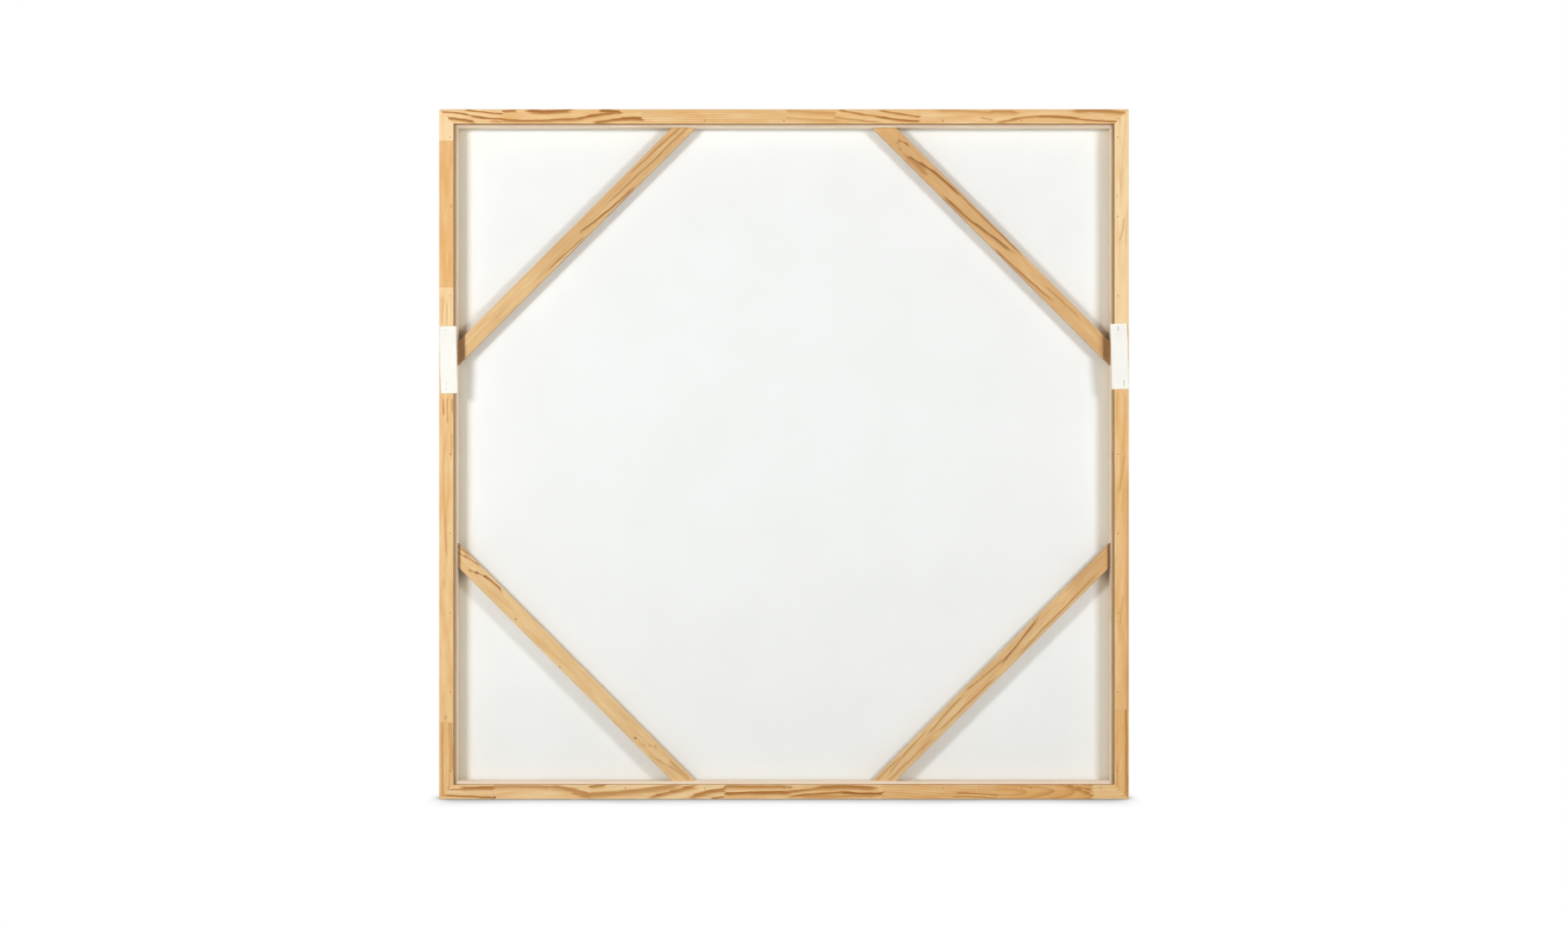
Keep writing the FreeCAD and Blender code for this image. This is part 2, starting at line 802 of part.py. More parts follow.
def export(nodes):
    """Checks every object of the document, then writes one file for each node."""
    doc.recompute()
    for item in doc.Objects:
        if "Invalid" in item.State or "Error" in item.State:
            raise ValueError(f"{item.Name} failed: {item.State}")
    for node in nodes:
        if node.Shape.isNull() or not node.Shape.isValid():
            raise ValueError(f"{node.Label} has no valid shape")
    os.makedirs("parts", exist_ok=True)
    for node in nodes:
        node.Shape.exportStep(f"parts/{node.Label}.step")
        print(f"{node.Label}: {len(node.Shape.Solids)} solids, {node.Shape.Volume / 1000:.2f} cm3")


export(build())
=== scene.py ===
import math
from collections import namedtuple

import bpy
import numpy as np
from mathutils import Matrix, Vector, noise


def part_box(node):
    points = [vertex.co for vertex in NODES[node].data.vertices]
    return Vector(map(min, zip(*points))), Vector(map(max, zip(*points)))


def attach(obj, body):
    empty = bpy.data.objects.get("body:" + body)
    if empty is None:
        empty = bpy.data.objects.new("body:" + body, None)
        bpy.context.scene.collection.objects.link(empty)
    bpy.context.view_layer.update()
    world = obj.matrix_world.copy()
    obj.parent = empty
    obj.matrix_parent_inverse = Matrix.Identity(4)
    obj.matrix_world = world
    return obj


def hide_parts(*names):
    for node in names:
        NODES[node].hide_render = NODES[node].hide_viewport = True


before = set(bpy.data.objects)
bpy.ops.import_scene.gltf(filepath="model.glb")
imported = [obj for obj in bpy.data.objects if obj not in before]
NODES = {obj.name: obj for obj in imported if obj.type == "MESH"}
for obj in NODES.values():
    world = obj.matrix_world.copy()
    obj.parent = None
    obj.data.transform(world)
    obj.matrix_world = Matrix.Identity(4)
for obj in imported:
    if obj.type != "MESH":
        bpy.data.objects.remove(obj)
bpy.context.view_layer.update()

# A stretched canvas in a pine floater frame, seen from behind. Metres, with +Z up and the back of
# the canvas towards -Y. Wood grain is worked out in millimetres.

MAIN_BODY = "framed_canvas"
MM = 0.001

# ---------------------------------------------------------------- places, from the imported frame

OUTER_LOW, OUTER_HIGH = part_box("frame_rail_left")[0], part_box("frame_rail_right")[1]
MIDDLE = (OUTER_LOW + OUTER_HIGH) / 2
HALF_SIZE = (OUTER_HIGH.x - OUTER_LOW.x) / 2
BACK = OUTER_LOW.y
LEDGE_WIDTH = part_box("frame_rail_left")[1].x - OUTER_LOW.x
LEDGE_INNER = HALF_SIZE - LEDGE_WIDTH
BAR_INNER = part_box("stretcher_bar_right")[0].x
BRACE_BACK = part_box("corner_brace_upper_left")[0].y
BRACE_WIDTH = 0.030
# How far above or below the middle a brace's outer edge meets a side bar.
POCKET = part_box("corner_brace_upper_left")[0].z - MIDDLE.z + BRACE_WIDTH * math.sqrt(2)


# ---------------------------------------------------------------- writing materials


class Shade:
    """Short names for the nodes of one material. A value is a socket or a plain number."""

    def __init__(self, name):
        self.material = bpy.data.materials.new(name)
        self.material.use_nodes = True
        self.nodes = self.material.node_tree.nodes
        self.links = self.material.node_tree.links
        self.surface = self.nodes["Principled BSDF"]

    def set(self, socket, value):
        if isinstance(value, bpy.types.NodeSocket):
            self.links.new(value, socket)
        else:
            socket.default_value = value

    def math(self, operation, first, second=0.0, third=0.0, clamp=False):
        node = self.nodes.new("ShaderNodeMath")
        node.operation = operation
        node.use_clamp = clamp
        for socket, value in zip(node.inputs, (first, second, third)):
            self.set(socket, value)
        return node.outputs[0]

    def vector(self, operation, first, second=(0, 0, 0)):
        node = self.nodes.new("ShaderNodeVectorMath")
        node.operation = operation
        self.set(node.inputs[0], first)
        self.set(node.inputs[1], second)
        return node.outputs["Value" if operation == "DOT_PRODUCT" else "Vector"]

    def join(self, x, y, z):
        node = self.nodes.new("ShaderNodeCombineXYZ")
        for socket, value in zip(node.inputs, (x, y, z)):
            self.set(socket, value)
        return node.outputs[0]

    def split(self, vector):
        node = self.nodes.new("ShaderNodeSeparateXYZ")
        self.set(node.inputs[0], vector)
        return node.outputs

    def mix(self, factor, first, second, kind="RGBA"):
        node = self.nodes.new("ShaderNodeMix")
        node.data_type = kind
        node.clamp_factor = True
        pick = {"RGBA": (6, 7, 2), "VECTOR": (4, 5, 1)}[kind]
        self.set(node.inputs[0], factor)
        self.set(node.inputs[pick[0]], first)
        self.set(node.inputs[pick[1]], second)
        return node.outputs[pick[2]]

    def step(self, value, low, high):
        """0 below low, 1 above high and smooth between."""
        node = self.nodes.new("ShaderNodeMapRange")
        node.interpolation_type = "SMOOTHSTEP"
        for socket, amount in zip(node.inputs, (value, low, high, 0.0, 1.0)):
            self.set(socket, amount)
        return node.outputs[0]

    def noise(self, vector, scale=1.0, detail=2.0, roughness=0.5, colour=False):
        node = self.nodes.new("ShaderNodeTexNoise")
        self.set(node.inputs["Vector"], vector)
        node.inputs["Scale"].default_value = scale
        node.inputs["Detail"].default_value = detail
        node.inputs["Roughness"].default_value = roughness
        return node.outputs["Color" if colour else "Fac"]

    def place(self):
        return self.nodes.new("ShaderNodeTexCoord").outputs["Object"]

    def from_middle(self, place):
        """How far a point is to the side of the object's middle, and how far above or below it."""
        x, _, z = self.split(place)
        aside = self.math("ABSOLUTE", self.math("SUBTRACT", x, MIDDLE.x))
        return aside, self.math("ABSOLUTE", self.math("SUBTRACT", z, MIDDLE.z))

    def finish(self, colour, roughness, height, depth):
        """Colour and roughness sockets, and a height of 0 to 1 that stands depth metres deep."""
        bump = self.nodes.new("ShaderNodeBump")
        bump.inputs["Strength"].default_value = 1.0
        bump.inputs["Distance"].default_value = depth
        self.set(bump.inputs["Height"], height)
        self.set(self.surface.inputs["Base Color"], colour)
        self.set(self.surface.inputs["Roughness"], roughness)
        self.links.new(bump.outputs[0], self.surface.inputs["Normal"])
        return self.material


def srgb(red, green, blue):
    """A colour as it is seen, 0 to 255, in the linear values that shaders take."""

    def linear(value):
        share = value / 255
        return share / 12.92 if share <= 0.04045 else ((share + 0.055) / 1.055) ** 2.4

    return (linear(red), linear(green), linear(blue), 1.0)


# ---------------------------------------------------------------- pine

# Colours of the wood between the rings, pale and honey, and of the rings, tan and brown.
Palette = namedtuple("Palette", "pale honey tan brown")
FRAME_WOOD = Palette(srgb(244, 216, 167), srgb(226, 174, 106), srgb(208, 152, 82), srgb(160, 102, 42))
BRACE_WOOD = Palette(srgb(240, 212, 160), srgb(216, 172, 116), srgb(190, 140, 82), srgb(140, 88, 42))
BAR_WOOD = Palette(srgb(246, 234, 214), srgb(238, 218, 188), srgb(226, 196, 156), srgb(204, 166, 124))
KNOT_BROWN = srgb(92, 52, 28)
GLUE_BROWN = srgb(150, 104, 66)
# The brown of the painted shade on the braces' ends, where the side rails' shadow falls.
END_SHADE_BROWN = srgb(112, 62, 38)
# The brown of the painted shade on the ledge's inner wall.
EDGE_SHADE_BROWN = srgb(150, 108, 68)

# A board's own directions: a point's place is (along, across, deep) in millimetres from origin.
Board = namedtuple("Board", "origin along across deep")

# One block of a finger-jointed rail, or a whole brace. start is where it begins along the board.
# tone runs from pale to honey and dark is how strong its growth rings are. The pith is a line that
# passes (across, deep) from the face's middle line at the block's middle, and slew and lean are how
# far it moves across and deep for each millimetre along. wave bends the grain, and sharp narrows
# the dark part of each ring.
Block = namedtuple("Block", "start tone dark pitch across deep slew lean wave sharp")

Knot = namedtuple("Knot", "along across radius depth")

# A broad ring where it meets the face: from (start, first) to (end, last), with its middle standing
# off the straight line by bow, half its width, and its strength from 0 to 1.
Streak = namedtuple("Streak", "start end first last bow width strength")
STREAK_FADE = 0.12

FINGER_HALF_PITCH = 3.2
FINGER_SLOPE = 2.2
GLUE_HALF_WIDTH = 0.45

# How quickly the wood changes for each millimetre along, across and deep.
SLOW_CHANGE = (0.011, 0.03, 0.03)
QUICK_CHANGE = (0.035, 0.16, 0.16)
FIBRE_CHANGE = (0.05, 2.2, 2.2)
CLOUD_CHANGE = (0.012, 0.09, 0.09)

# How far the slow and the quick changes move the growth rings and the streaks.
RING_DRIFT, RING_RIPPLE = 26.0, 3.5
STREAK_DRIFT, STREAK_RIPPLE = 5.0, 3.0
# How far a streak moves across for each millimetre deeper, and where in a ring its dark part ends.
STREAK_LEAN = 0.3
RING_END = 0.93

# A knot is longer along the board, and moves the rings as far out as this many of its radii.
KNOT_SHARE_ALONG = 0.6
KNOT_REACH = 4.0
KNOT_PUSH = 1.6
WOOD_RELIEF = 0.00012


def block_values(shade, place, blocks, length):
    """The block that a point is in, as three vectors of its values, and how far the next joint is."""
    ends = [block.start for block in blocks[1:]] + [length]
    rows = []
    for block, end in zip(blocks, ends):
        middle = (block.start + end) / 2
        across = block.across - block.slew * middle
        deep = block.deep - block.lean * middle
        rows.append(
            (
                (across, deep, 1 / block.pitch),
                (block.slew, block.lean, block.wave),
                (block.tone, block.dark, block.sharp),
            )
        )
    values = list(rows[0])
    gap = 1000.0
    for block, row in zip(blocks[1:], rows[1:]):
        past = shade.math("GREATER_THAN", place, block.start)
        values = [shade.mix(past, old, new, "VECTOR") for old, new in zip(values, row)]
        off = shade.math("ABSOLUTE", shade.math("SUBTRACT", place, block.start))
        gap = shade.math("MINIMUM", gap, off)
    return values, gap


def streak_marks(shade, place, across, streaks, joints):
    """How dark each point is, from 0 to 1. A streak darkens slowly upwards and then stops short, as
    a ring does, and one that reaches a joint is cut off sharply there."""
    marks = 0.0
    for streak in streaks:
        length = streak.end - streak.start
        way = shade.math("MULTIPLY_ADD", place, 1 / length, -streak.start / length, clamp=True)
        climb = 4 * streak.bow + streak.last - streak.first
        curve = shade.math("MULTIPLY_ADD", way, -4 * streak.bow, climb)
        middle = shade.math("MULTIPLY_ADD", way, curve, streak.first)
        off = shade.math("SUBTRACT", across, middle)
        rise = shade.step(off, -2.6 * streak.width, 0.5 * streak.width)
        mark = shade.math("MULTIPLY", rise, shade.step(off, 1.6 * streak.width, 0.6 * streak.width))
        for edge, outward in ((streak.start, -1), (streak.end, 1)):
            fade = outward * (0.3 if edge in joints else STREAK_FADE * length)
            mark = shade.math("MULTIPLY", mark, shade.step(place, edge + fade, edge - fade))
        marks = shade.math("MAXIMUM", marks, shade.math("MULTIPLY", mark, streak.strength))
    return marks


def pine(
    name,
    board,
    length,
    blocks,
    knots=(),
    streaks=(),
    fingers="across",
    seed=0.0,
    wood=FRAME_WOOD,
    end_shade=None,
):
    """Planed pine. fingers names the direction in which the zigzag of a finger joint is seen. The last
    argument is how strong the brown painted shade on the ends is, and how far it reaches."""
    shade = Shade(name)
    local = shade.vector("SUBTRACT", shade.place(), tuple(board.origin))
    local = shade.vector("MULTIPLY", local, (1 / MM, 1 / MM, 1 / MM))
    along, across, deep = (
        shade.vector("DOT_PRODUCT", local, tuple(axis)) for axis in board[1:]
    )
    zigzag = shade.math("PINGPONG", across if fingers == "across" else deep, FINGER_HALF_PITCH)
    place = shade.math("MULTIPLY_ADD", zigzag, FINGER_SLOPE, along)
    (pith, tilt, look), gap = block_values(shade, place, blocks, length)
    pith_across, pith_deep, density = shade.split(pith)
    slew, lean, wave = shade.split(tilt)
    tone, dark, sharp = shade.split(look)

    # The grain wanders slowly along the board, and more quickly by a little.
    here = shade.join(along, across, deep)
    slow = shade.vector("MULTIPLY", here, SLOW_CHANGE)
    slow = shade.vector("ADD", slow, (seed, 2 * seed, 5 * seed))
    drift = shade.split(shade.noise(slow, detail=1.5, colour=True))
    quick = shade.vector("MULTIPLY", here, QUICK_CHANGE)
    ripple = shade.math("SUBTRACT", shade.noise(quick, detail=2.0), 0.5)

    def from_pith(where, start, slope, wander):
        gone = shade.math("MULTIPLY_ADD", along, slope, start)
        bend = shade.math("MULTIPLY", shade.math("SUBTRACT", wander, 0.5), RING_DRIFT)
        bend = shade.math("MULTIPLY_ADD", ripple, RING_RIPPLE, bend)
        bend = shade.math("MULTIPLY", bend, wave)
        return shade.math("ADD", shade.math("SUBTRACT", where, gone), bend)

    aside = from_pith(across, pith_across, slew, drift[0])
    below = from_pith(deep, pith_deep, lean, drift[1])
    radius = shade.math(
        "SQRT",
        shade.math("MULTIPLY_ADD", aside, aside, shade.math("MULTIPLY", below, below)),
    )

    # Knots push the rings round themselves.
    knot_mark = 0.0
    for knot in knots:
        side = shade.math("SUBTRACT", across, knot.across)
        on = shade.math("MULTIPLY", shade.math("SUBTRACT", along, knot.along), KNOT_SHARE_ALONG)
        reach = shade.math("MULTIPLY_ADD", on, on, shade.math("MULTIPLY", side, side))
        reach = shade.math("DIVIDE", shade.math("SQRT", reach), knot.radius)
        near = shade.step(reach, KNOT_REACH, 0.6)
        ring = shade.math("MULTIPLY", near, KNOT_PUSH * knot.radius)
        radius = shade.math("ADD", radius, ring)
        mark = shade.math("MULTIPLY", shade.step(reach, 1.5, 0.5), knot.depth)
        knot_mark = shade.math("MAXIMUM", knot_mark, mark)

    phase = shade.math("FRACT", shade.math("MULTIPLY", radius, density))
    late = shade.math("POWER", phase, sharp)
    fall = shade.step(phase, 1.0, RING_END)
    late = shade.math("MULTIPLY", late, fall)
    strength = shade.math("MULTIPLY_ADD", drift[2], 1.1, 0.35)
    late = shade.math("MULTIPLY", late, shade.math("MULTIPLY", dark, strength))

    turned = shade.math("MULTIPLY_ADD", deep, STREAK_LEAN, across)
    turned = shade.math("MULTIPLY_ADD", ripple, STREAK_RIPPLE, turned)
    drifted = shade.math("SUBTRACT", drift[0], 0.5)
    turned = shade.math("MULTIPLY_ADD", drifted, STREAK_DRIFT, turned)
    joints = {0.0, length} | {block.start for block in blocks}
    marks = streak_marks(shade, place, turned, streaks, joints)

    # Fine fibres, and slow changes of tone.
    fibre = shade.vector("MULTIPLY", here, FIBRE_CHANGE)
    fibre = shade.noise(fibre, detail=3.0, roughness=0.7)
    cloud = shade.noise(shade.vector("MULTIPLY", here, CLOUD_CHANGE), detail=3.0)
    mellow = shade.math("MULTIPLY_ADD", shade.math("SUBTRACT", cloud, 0.5), 1.5, tone)
    early_colour = shade.mix(mellow, wood.pale, wood.honey)
    late_colour = shade.mix(dark, wood.tan, wood.brown)
    late = shade.math("MULTIPLY_ADD", shade.math("SUBTRACT", fibre, 0.5), 0.28, late, clamp=True)
    colour = shade.mix(late, early_colour, late_colour)
    marks = shade.math("MULTIPLY", marks, shade.math("MULTIPLY_ADD", fibre, 0.5, 0.85))
    colour = shade.mix(shade.math("MULTIPLY", marks, 1.7), colour, wood.tan)
    colour = shade.mix(shade.math("MULTIPLY_ADD", marks, 1.5, -0.35), colour, wood.brown)
    glue = shade.math("MULTIPLY", shade.step(gap, GLUE_HALF_WIDTH, 0.1), 0.35)
    colour = shade.mix(glue, colour, GLUE_BROWN)
    colour = shade.mix(knot_mark, colour, KNOT_BROWN)
    # Painted shade on the braces' ends, where the side rails' shadow falls.
    if end_shade:
        colour = painted_end_shade(shade, colour, fibre, *end_shade)
    # Painted shade on the inner wall of the frame's ledge.
    if wood is FRAME_WOOD:
        colour = painted_edge_shade(shade, colour, deep)

    roughness = shade.math("MULTIPLY_ADD", fibre, 0.16, 0.5)
    height = shade.math("MULTIPLY_ADD", late, 0.4, shade.math("MULTIPLY", fibre, 0.6))
    shade.surface.inputs["Specular IOR Level"].default_value = 0.35
    return shade.finish(colour, roughness, height, WOOD_RELIEF)


# How softly the painted shade on the braces' ends begins, in metres.
END_SHADE_FADE = 0.0015
# How strong the painted shade on the ledge's inner wall is, from 0 to 1.
EDGE_SHADE_SHARE = 0.85


def painted_end_shade(shade, colour, fibre, strength, reach):
    """Painted shade, in streaky brown, on the ends of the braces next to the side bars."""
    aside, _ = shade.from_middle(shade.place())
    edge = shade.math("MULTIPLY_ADD", shade.math("SUBTRACT", fibre, 0.5), 0.004, aside)
    start = BAR_INNER - reach
    end_shading = shade.step(edge, start - END_SHADE_FADE, start + END_SHADE_FADE)
    end_shading = shade.math("MULTIPLY", end_shading, shade.math("MULTIPLY_ADD", fibre, -0.7, 1.35))
    return shade.mix(shade.math("MULTIPLY", end_shading, strength), colour, END_SHADE_BROWN)


def painted_edge_shade(shade, colour, deep):
    """Painted shade: the ledge's inner wall is darkened brown."""
    ledge_depth = (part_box("canvas_cloth")[0].y - BACK) / MM
    aside, above = shade.from_middle(shade.place())
    off = shade.math("MAXIMUM", aside, above)
    edge = shade.step(off, LEDGE_INNER + 0.00025, LEDGE_INNER + 0.0001)
    lip = shade.math("MULTIPLY", edge, shade.step(deep, ledge_depth + 0.3, ledge_depth))
    lip = shade.math("MULTIPLY", lip, shade.step(deep, 0.3, 0.8))
    return shade.mix(shade.math("MULTIPLY", lip, EDGE_SHADE_SHARE), colour, EDGE_SHADE_BROWN)


def dress(material, *names):
    """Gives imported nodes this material."""
    for name in names:
        for slot in NODES[name].material_slots:
            slot.material = material


X, Y, Z = Vector((1, 0, 0)), Vector((0, 1, 0)), Vector((0, 0, 1))
SIDES = ("top", "bottom", "left", "right")
RAIL_LENGTH = 2 * HALF_SIZE / MM
LEDGE_MIDDLE = HALF_SIZE - LEDGE_WIDTH / 2


def rail_board(side):
    """Rails are measured from the left end or from the top, and across from the ledge's middle."""
    left, top = OUTER_LOW.x, OUTER_HIGH.z
    boards = {
        "top": Board(Vector((left, BACK, MIDDLE.z + LEDGE_MIDDLE)), X, Z, Y),
        "bottom": Board(Vector((left, BACK, MIDDLE.z - LEDGE_MIDDLE)), X, Z, Y),
        "left": Board(Vector((MIDDLE.x - LEDGE_MIDDLE, BACK, top)), -Z, X, Y),
        "right": Board(Vector((MIDDLE.x + LEDGE_MIDDLE, BACK, top)), -Z, X, Y),
    }
    return boards[side]


RAIL_BLOCKS = {
    "top": (
        #     start  tone  dark pitch across deep  slew   lean  wave sharp
        Block(0.0, 0.45, 0.25, 7.0, -60, 30, -0.13, 0.00, 0.35, 3.0),
        Block(119.0, 0.58, 0.22, 12.0, 42, 20, 0.09, 0.00, 0.75, 2.5),
        Block(371.0, 0.58, 0.50, 4.4, 90, 10, 0.00, 0.00, 0.06, 2.0),
        Block(632.0, 0.62, 0.25, 9.0, -50, 25, -0.11, 0.00, 0.40, 2.2),
        Block(718.0, 0.58, 0.25, 8.0, -50, 25, -0.15, 0.00, 0.40, 2.2),
        Block(871.0, 0.58, 0.18, 15.0, -40, 20, -0.02, 0.00, 0.50, 2.0),
        Block(1001.0, 0.58, 0.30, 9.0, -24, 9, 0.00, 0.28, 0.35, 2.6),
    ),
    "bottom": (
        Block(0.0, 0.30, 0.25, 9.0, 55, 15, 0.02, 0.00, 0.25, 3.0),
        Block(102.0, 0.25, 0.20, 17.0, -30, 1, 0.00, 0.22, 0.30, 1.6),
        Block(276.0, 0.10, 0.25, 12.5, -60, 20, 0.17, 0.00, 0.50, 1.6),
        Block(520.0, 0.45, 0.35, 7.5, 60, 10, 0.05, 0.00, 0.35, 2.0),
        Block(805.0, 0.70, 0.55, 4.4, -60, 15, -0.06, 0.00, 0.25, 2.0),
        Block(1010.0, 0.95, 0.75, 7.0, 0, 12, 0.00, 0.16, 0.20, 2.5),
        Block(1183.0, 0.50, 0.20, 9.0, 30, 15, 0.05, 0.00, 0.30, 2.0),
    ),
    "left": (
        Block(0.0, 0.02, 0.10, 8.0, 40, 30, 0.02, 0.00, 0.30, 2.0),
        Block(57.0, 0.85, 0.08, 16.0, 50, 40, 0.00, 0.00, 0.40, 2.0),
        Block(321.0, 0.22, 0.14, 9.0, -30, 30, 0.05, 0.00, 0.60, 2.0),
        Block(507.0, 0.55, 0.18, 10.0, -12, 26, 0.01, 0.02, 0.50, 2.5),
        Block(1107.0, 0.60, 0.25, 9.0, -50, 20, 0.01, 0.00, 0.20, 2.0),
    ),
    "right": (
        Block(0.0, 0.08, 0.14, 10.0, 30, 40, 0.04, 0.00, 0.60, 2.0),
        Block(440.0, 0.66, 0.20, 12.0, 40, 30, 0.02, 0.02, 0.60, 2.0),
        Block(1084.0, 0.80, 0.22, 12.0, -34, 20, 0.01, 0.00, 0.45, 1.6),
    ),
}

RAIL_STREAKS = {
    "top": (
        #      start   end  first  last   bow width strength
        Streak(3.0, 62.0, 8.0, 1.0, 1.5, 1.1, 0.75),
        Streak(58.0, 119.0, 1.2, -4.2, -1.2, 1.5, 0.80),
        Streak(50.0, 119.0, 11.8, 4.6, -1.0, 1.2, 0.70),
        Streak(17.0, 68.0, -3.5, -10.5, 1.6, 2.0, 0.80),
        Streak(97.0, 119.0, -8.8, -8.5, 0.0, 0.8, 0.55),
        Streak(119.0, 144.0, 9.3, 10.4, 0.0, 2.0, 0.75),
        Streak(163.0, 242.0, 10.6, 11.5, -3.6, 3.0, 0.80),
        Streak(119.0, 256.0, -5.0, -4.6, -3.2, 2.4, 0.62),
        Streak(250.0, 322.0, -5.0, 6.0, 1.2, 2.3, 0.78),
        Streak(294.0, 332.0, 11.5, 7.6, 0.0, 3.0, 0.85),
        Streak(284.0, 338.0, -10.8, -4.4, 0.6, 2.4, 0.72),
        Streak(332.0, 371.0, -4.0, -4.4, 0.6, 2.7, 0.88),
        Streak(632.0, 718.0, 9.5, 5.0, 0.0, 3.6, 0.32),
        Streak(632.0, 730.0, -4.0, -9.6, 0.0, 3.0, 0.28),
        Streak(724.0, 794.0, 12.0, 1.5, -0.8, 1.9, 0.55),
        Streak(786.0, 871.0, 2.0, -9.2, -2.2, 1.7, 0.72),
        Streak(800.0, 871.0, 10.4, -0.8, -0.4, 1.8, 0.58),
        Streak(718.0, 802.0, -2.5, -11.0, -0.6, 2.2, 0.36),
        Streak(900.0, 1001.0, 10.0, 5.5, 0.5, 2.8, 0.36),
        Streak(982.0, 1001.0, -2.6, -6.0, 0.0, 1.6, 0.35),
        Streak(1001.0, 1048.0, 7.5, 7.0, 1.5, 3.0, 0.42),
        Streak(1012.0, 1086.0, -11.2, 0.2, 1.5, 2.2, 0.52),
        Streak(1080.0, 1162.0, 0.2, -4.6, 1.0, 2.2, 0.72),
        Streak(1154.0, 1238.0, -4.4, -9.6, -0.8, 1.6, 0.66),
        Streak(1148.0, 1245.0, 9.4, 6.0, 1.5, 3.2, 0.55),
    ),
    "bottom": (
        Streak(24.0, 50.0, 5.2, 5.4, 0.0, 1.2, 0.55),
        Streak(44.0, 102.0, 6.4, 6.8, 0.0, 3.0, 0.62),
        Streak(10.0, 102.0, -6.4, -9.6, 0.5, 1.6, 0.60),
        Streak(102.0, 222.0, 8.2, 6.8, 1.0, 3.4, 0.42),
        Streak(206.0, 276.0, 8.0, -7.5, 2.4, 4.2, 0.46),
        Streak(240.0, 276.0, 1.0, -9.8, -1.5, 3.0, 0.45),
        Streak(276.0, 304.0, 7.8, 11.8, 0.0, 2.6, 0.55),
        Streak(276.0, 440.0, -6.5, 12.0, -3.0, 5.2, 0.44),
        Streak(384.0, 468.0, -10.6, 10.8, 0.5, 3.4, 0.52),
        Streak(458.0, 520.0, -9.8, 4.0, 1.8, 4.0, 0.56),
        Streak(494.0, 520.0, -11.6, -9.0, 0.0, 1.5, 0.50),
        Streak(520.0, 640.0, 9.0, 8.6, 0.5, 2.8, 0.50),
        Streak(520.0, 642.0, -3.4, -2.0, 1.0, 2.6, 0.70),
        Streak(634.0, 704.0, -1.2, 8.4, 0.5, 2.4, 0.55),
        Streak(636.0, 744.0, -9.0, -0.6, 1.2, 2.4, 0.58),
        Streak(690.0, 792.0, 8.6, 6.6, 1.0, 3.4, 0.62),
        Streak(728.0, 805.0, -1.0, -1.8, -1.6, 2.0, 0.95),
        Streak(650.0, 800.0, -9.0, -7.4, 0.0, 2.2, 0.40),
        Streak(936.0, 1010.0, -1.0, -5.6, -0.6, 1.2, 0.55),
        Streak(930.0, 1010.0, -7.6, -10.8, 0.0, 1.2, 0.50),
        Streak(1134.0, 1183.0, 10.5, -8.0, 3.0, 3.4, 0.50),
        Streak(1156.0, 1183.0, 9.8, 2.4, 0.5, 1.2, 0.70),
    ),
    "left": (
        Streak(338.0, 390.0, -8.0, -7.0, 0.0, 2.4, 0.22),
        Streak(350.0, 390.0, 0.0, 1.0, 0.0, 1.0, 0.26),
        Streak(522.0, 552.0, -5.4, -5.4, 0.0, 0.9, 0.55),
        Streak(519.0, 566.0, 1.4, 0.6, 0.0, 1.5, 0.36),
        Streak(522.0, 548.0, 9.2, 9.6, 0.0, 1.2, 0.50),
        Streak(586.0, 628.0, 9.4, 9.0, 0.0, 1.2, 0.35),
        Streak(590.0, 745.0, -1.5, -1.5, -4.0, 2.4, 0.24),
        Streak(728.0, 804.0, -2.0, 0.8, -0.5, 1.5, 0.38),
        Streak(1107.0, 1245.0, -8.0, -7.2, 0.0, 1.9, 0.38),
        Streak(1107.0, 1245.0, 4.6, 3.6, 0.8, 1.1, 0.34),
        Streak(1107.0, 1196.0, 9.0, 9.0, 0.0, 3.0, 0.34),
    ),
    "right": (
        Streak(20.0, 150.0, 6.6, -2.0, 1.0, 1.4, 0.16),
        Streak(196.0, 238.0, 5.4, -3.0, 1.5, 1.9, 0.26),
        Streak(178.0, 248.0, 9.6, 8.4, 0.0, 1.6, 0.18),
        Streak(508.0, 566.0, -7.0, -8.4, 0.0, 1.0, 0.26),
        Streak(516.0, 624.0, 6.0, 1.6, 0.5, 2.0, 0.24),
        Streak(620.0, 692.0, 3.4, -5.6, 1.0, 2.8, 0.30),
        Streak(640.0, 1084.0, 11.0, 10.0, 0.0, 5.0, 0.30),
        Streak(876.0, 930.0, 2.0, -3.0, 0.5, 1.6, 0.30),
        Streak(1084.0, 1245.0, 7.6, 8.2, 0.5, 2.6, 0.52),
        Streak(1176.0, 1245.0, -8.2, -9.0, 0.0, 1.0, 0.40),
    ),
}

RAIL_KNOTS = {
    "top": (Knot(910.0, -9.0, 0.9, 0.45), Knot(103.0, -8.6, 0.9, 0.40)),
    "bottom": (
        Knot(100.0, -9.6, 1.5, 1.0),
        Knot(634.0, 8.4, 1.5, 0.50),
        Knot(975.0, 9.6, 0.9, 0.55),
        Knot(1068.0, 8.0, 1.0, 0.50),
        Knot(1190.0, 7.2, 0.9, 0.40),
    ),
    "left": (
        Knot(175.0, 8.6, 1.6, 0.30),
        Knot(855.0, -5.0, 3.6, 0.12),
        Knot(1098.0, -1.6, 2.0, 0.34),
    ),
    "right": (Knot(157.0, -8.0, 1.4, 0.30), Knot(925.0, -8.0, 1.0, 0.30)),
}


def finish_frame():
    for number, side in enumerate(SIDES):
        material = pine(
            f"pine_{side}",
            rail_board(side),
            RAIL_LENGTH,
            RAIL_BLOCKS[side],
            RAIL_KNOTS[side],
            RAIL_STREAKS[side],
            fingers="across" if side in ("top", "bottom") else "deep",
            seed=3.1 * number,
        )
        dress(material, f"frame_rail_{side}")


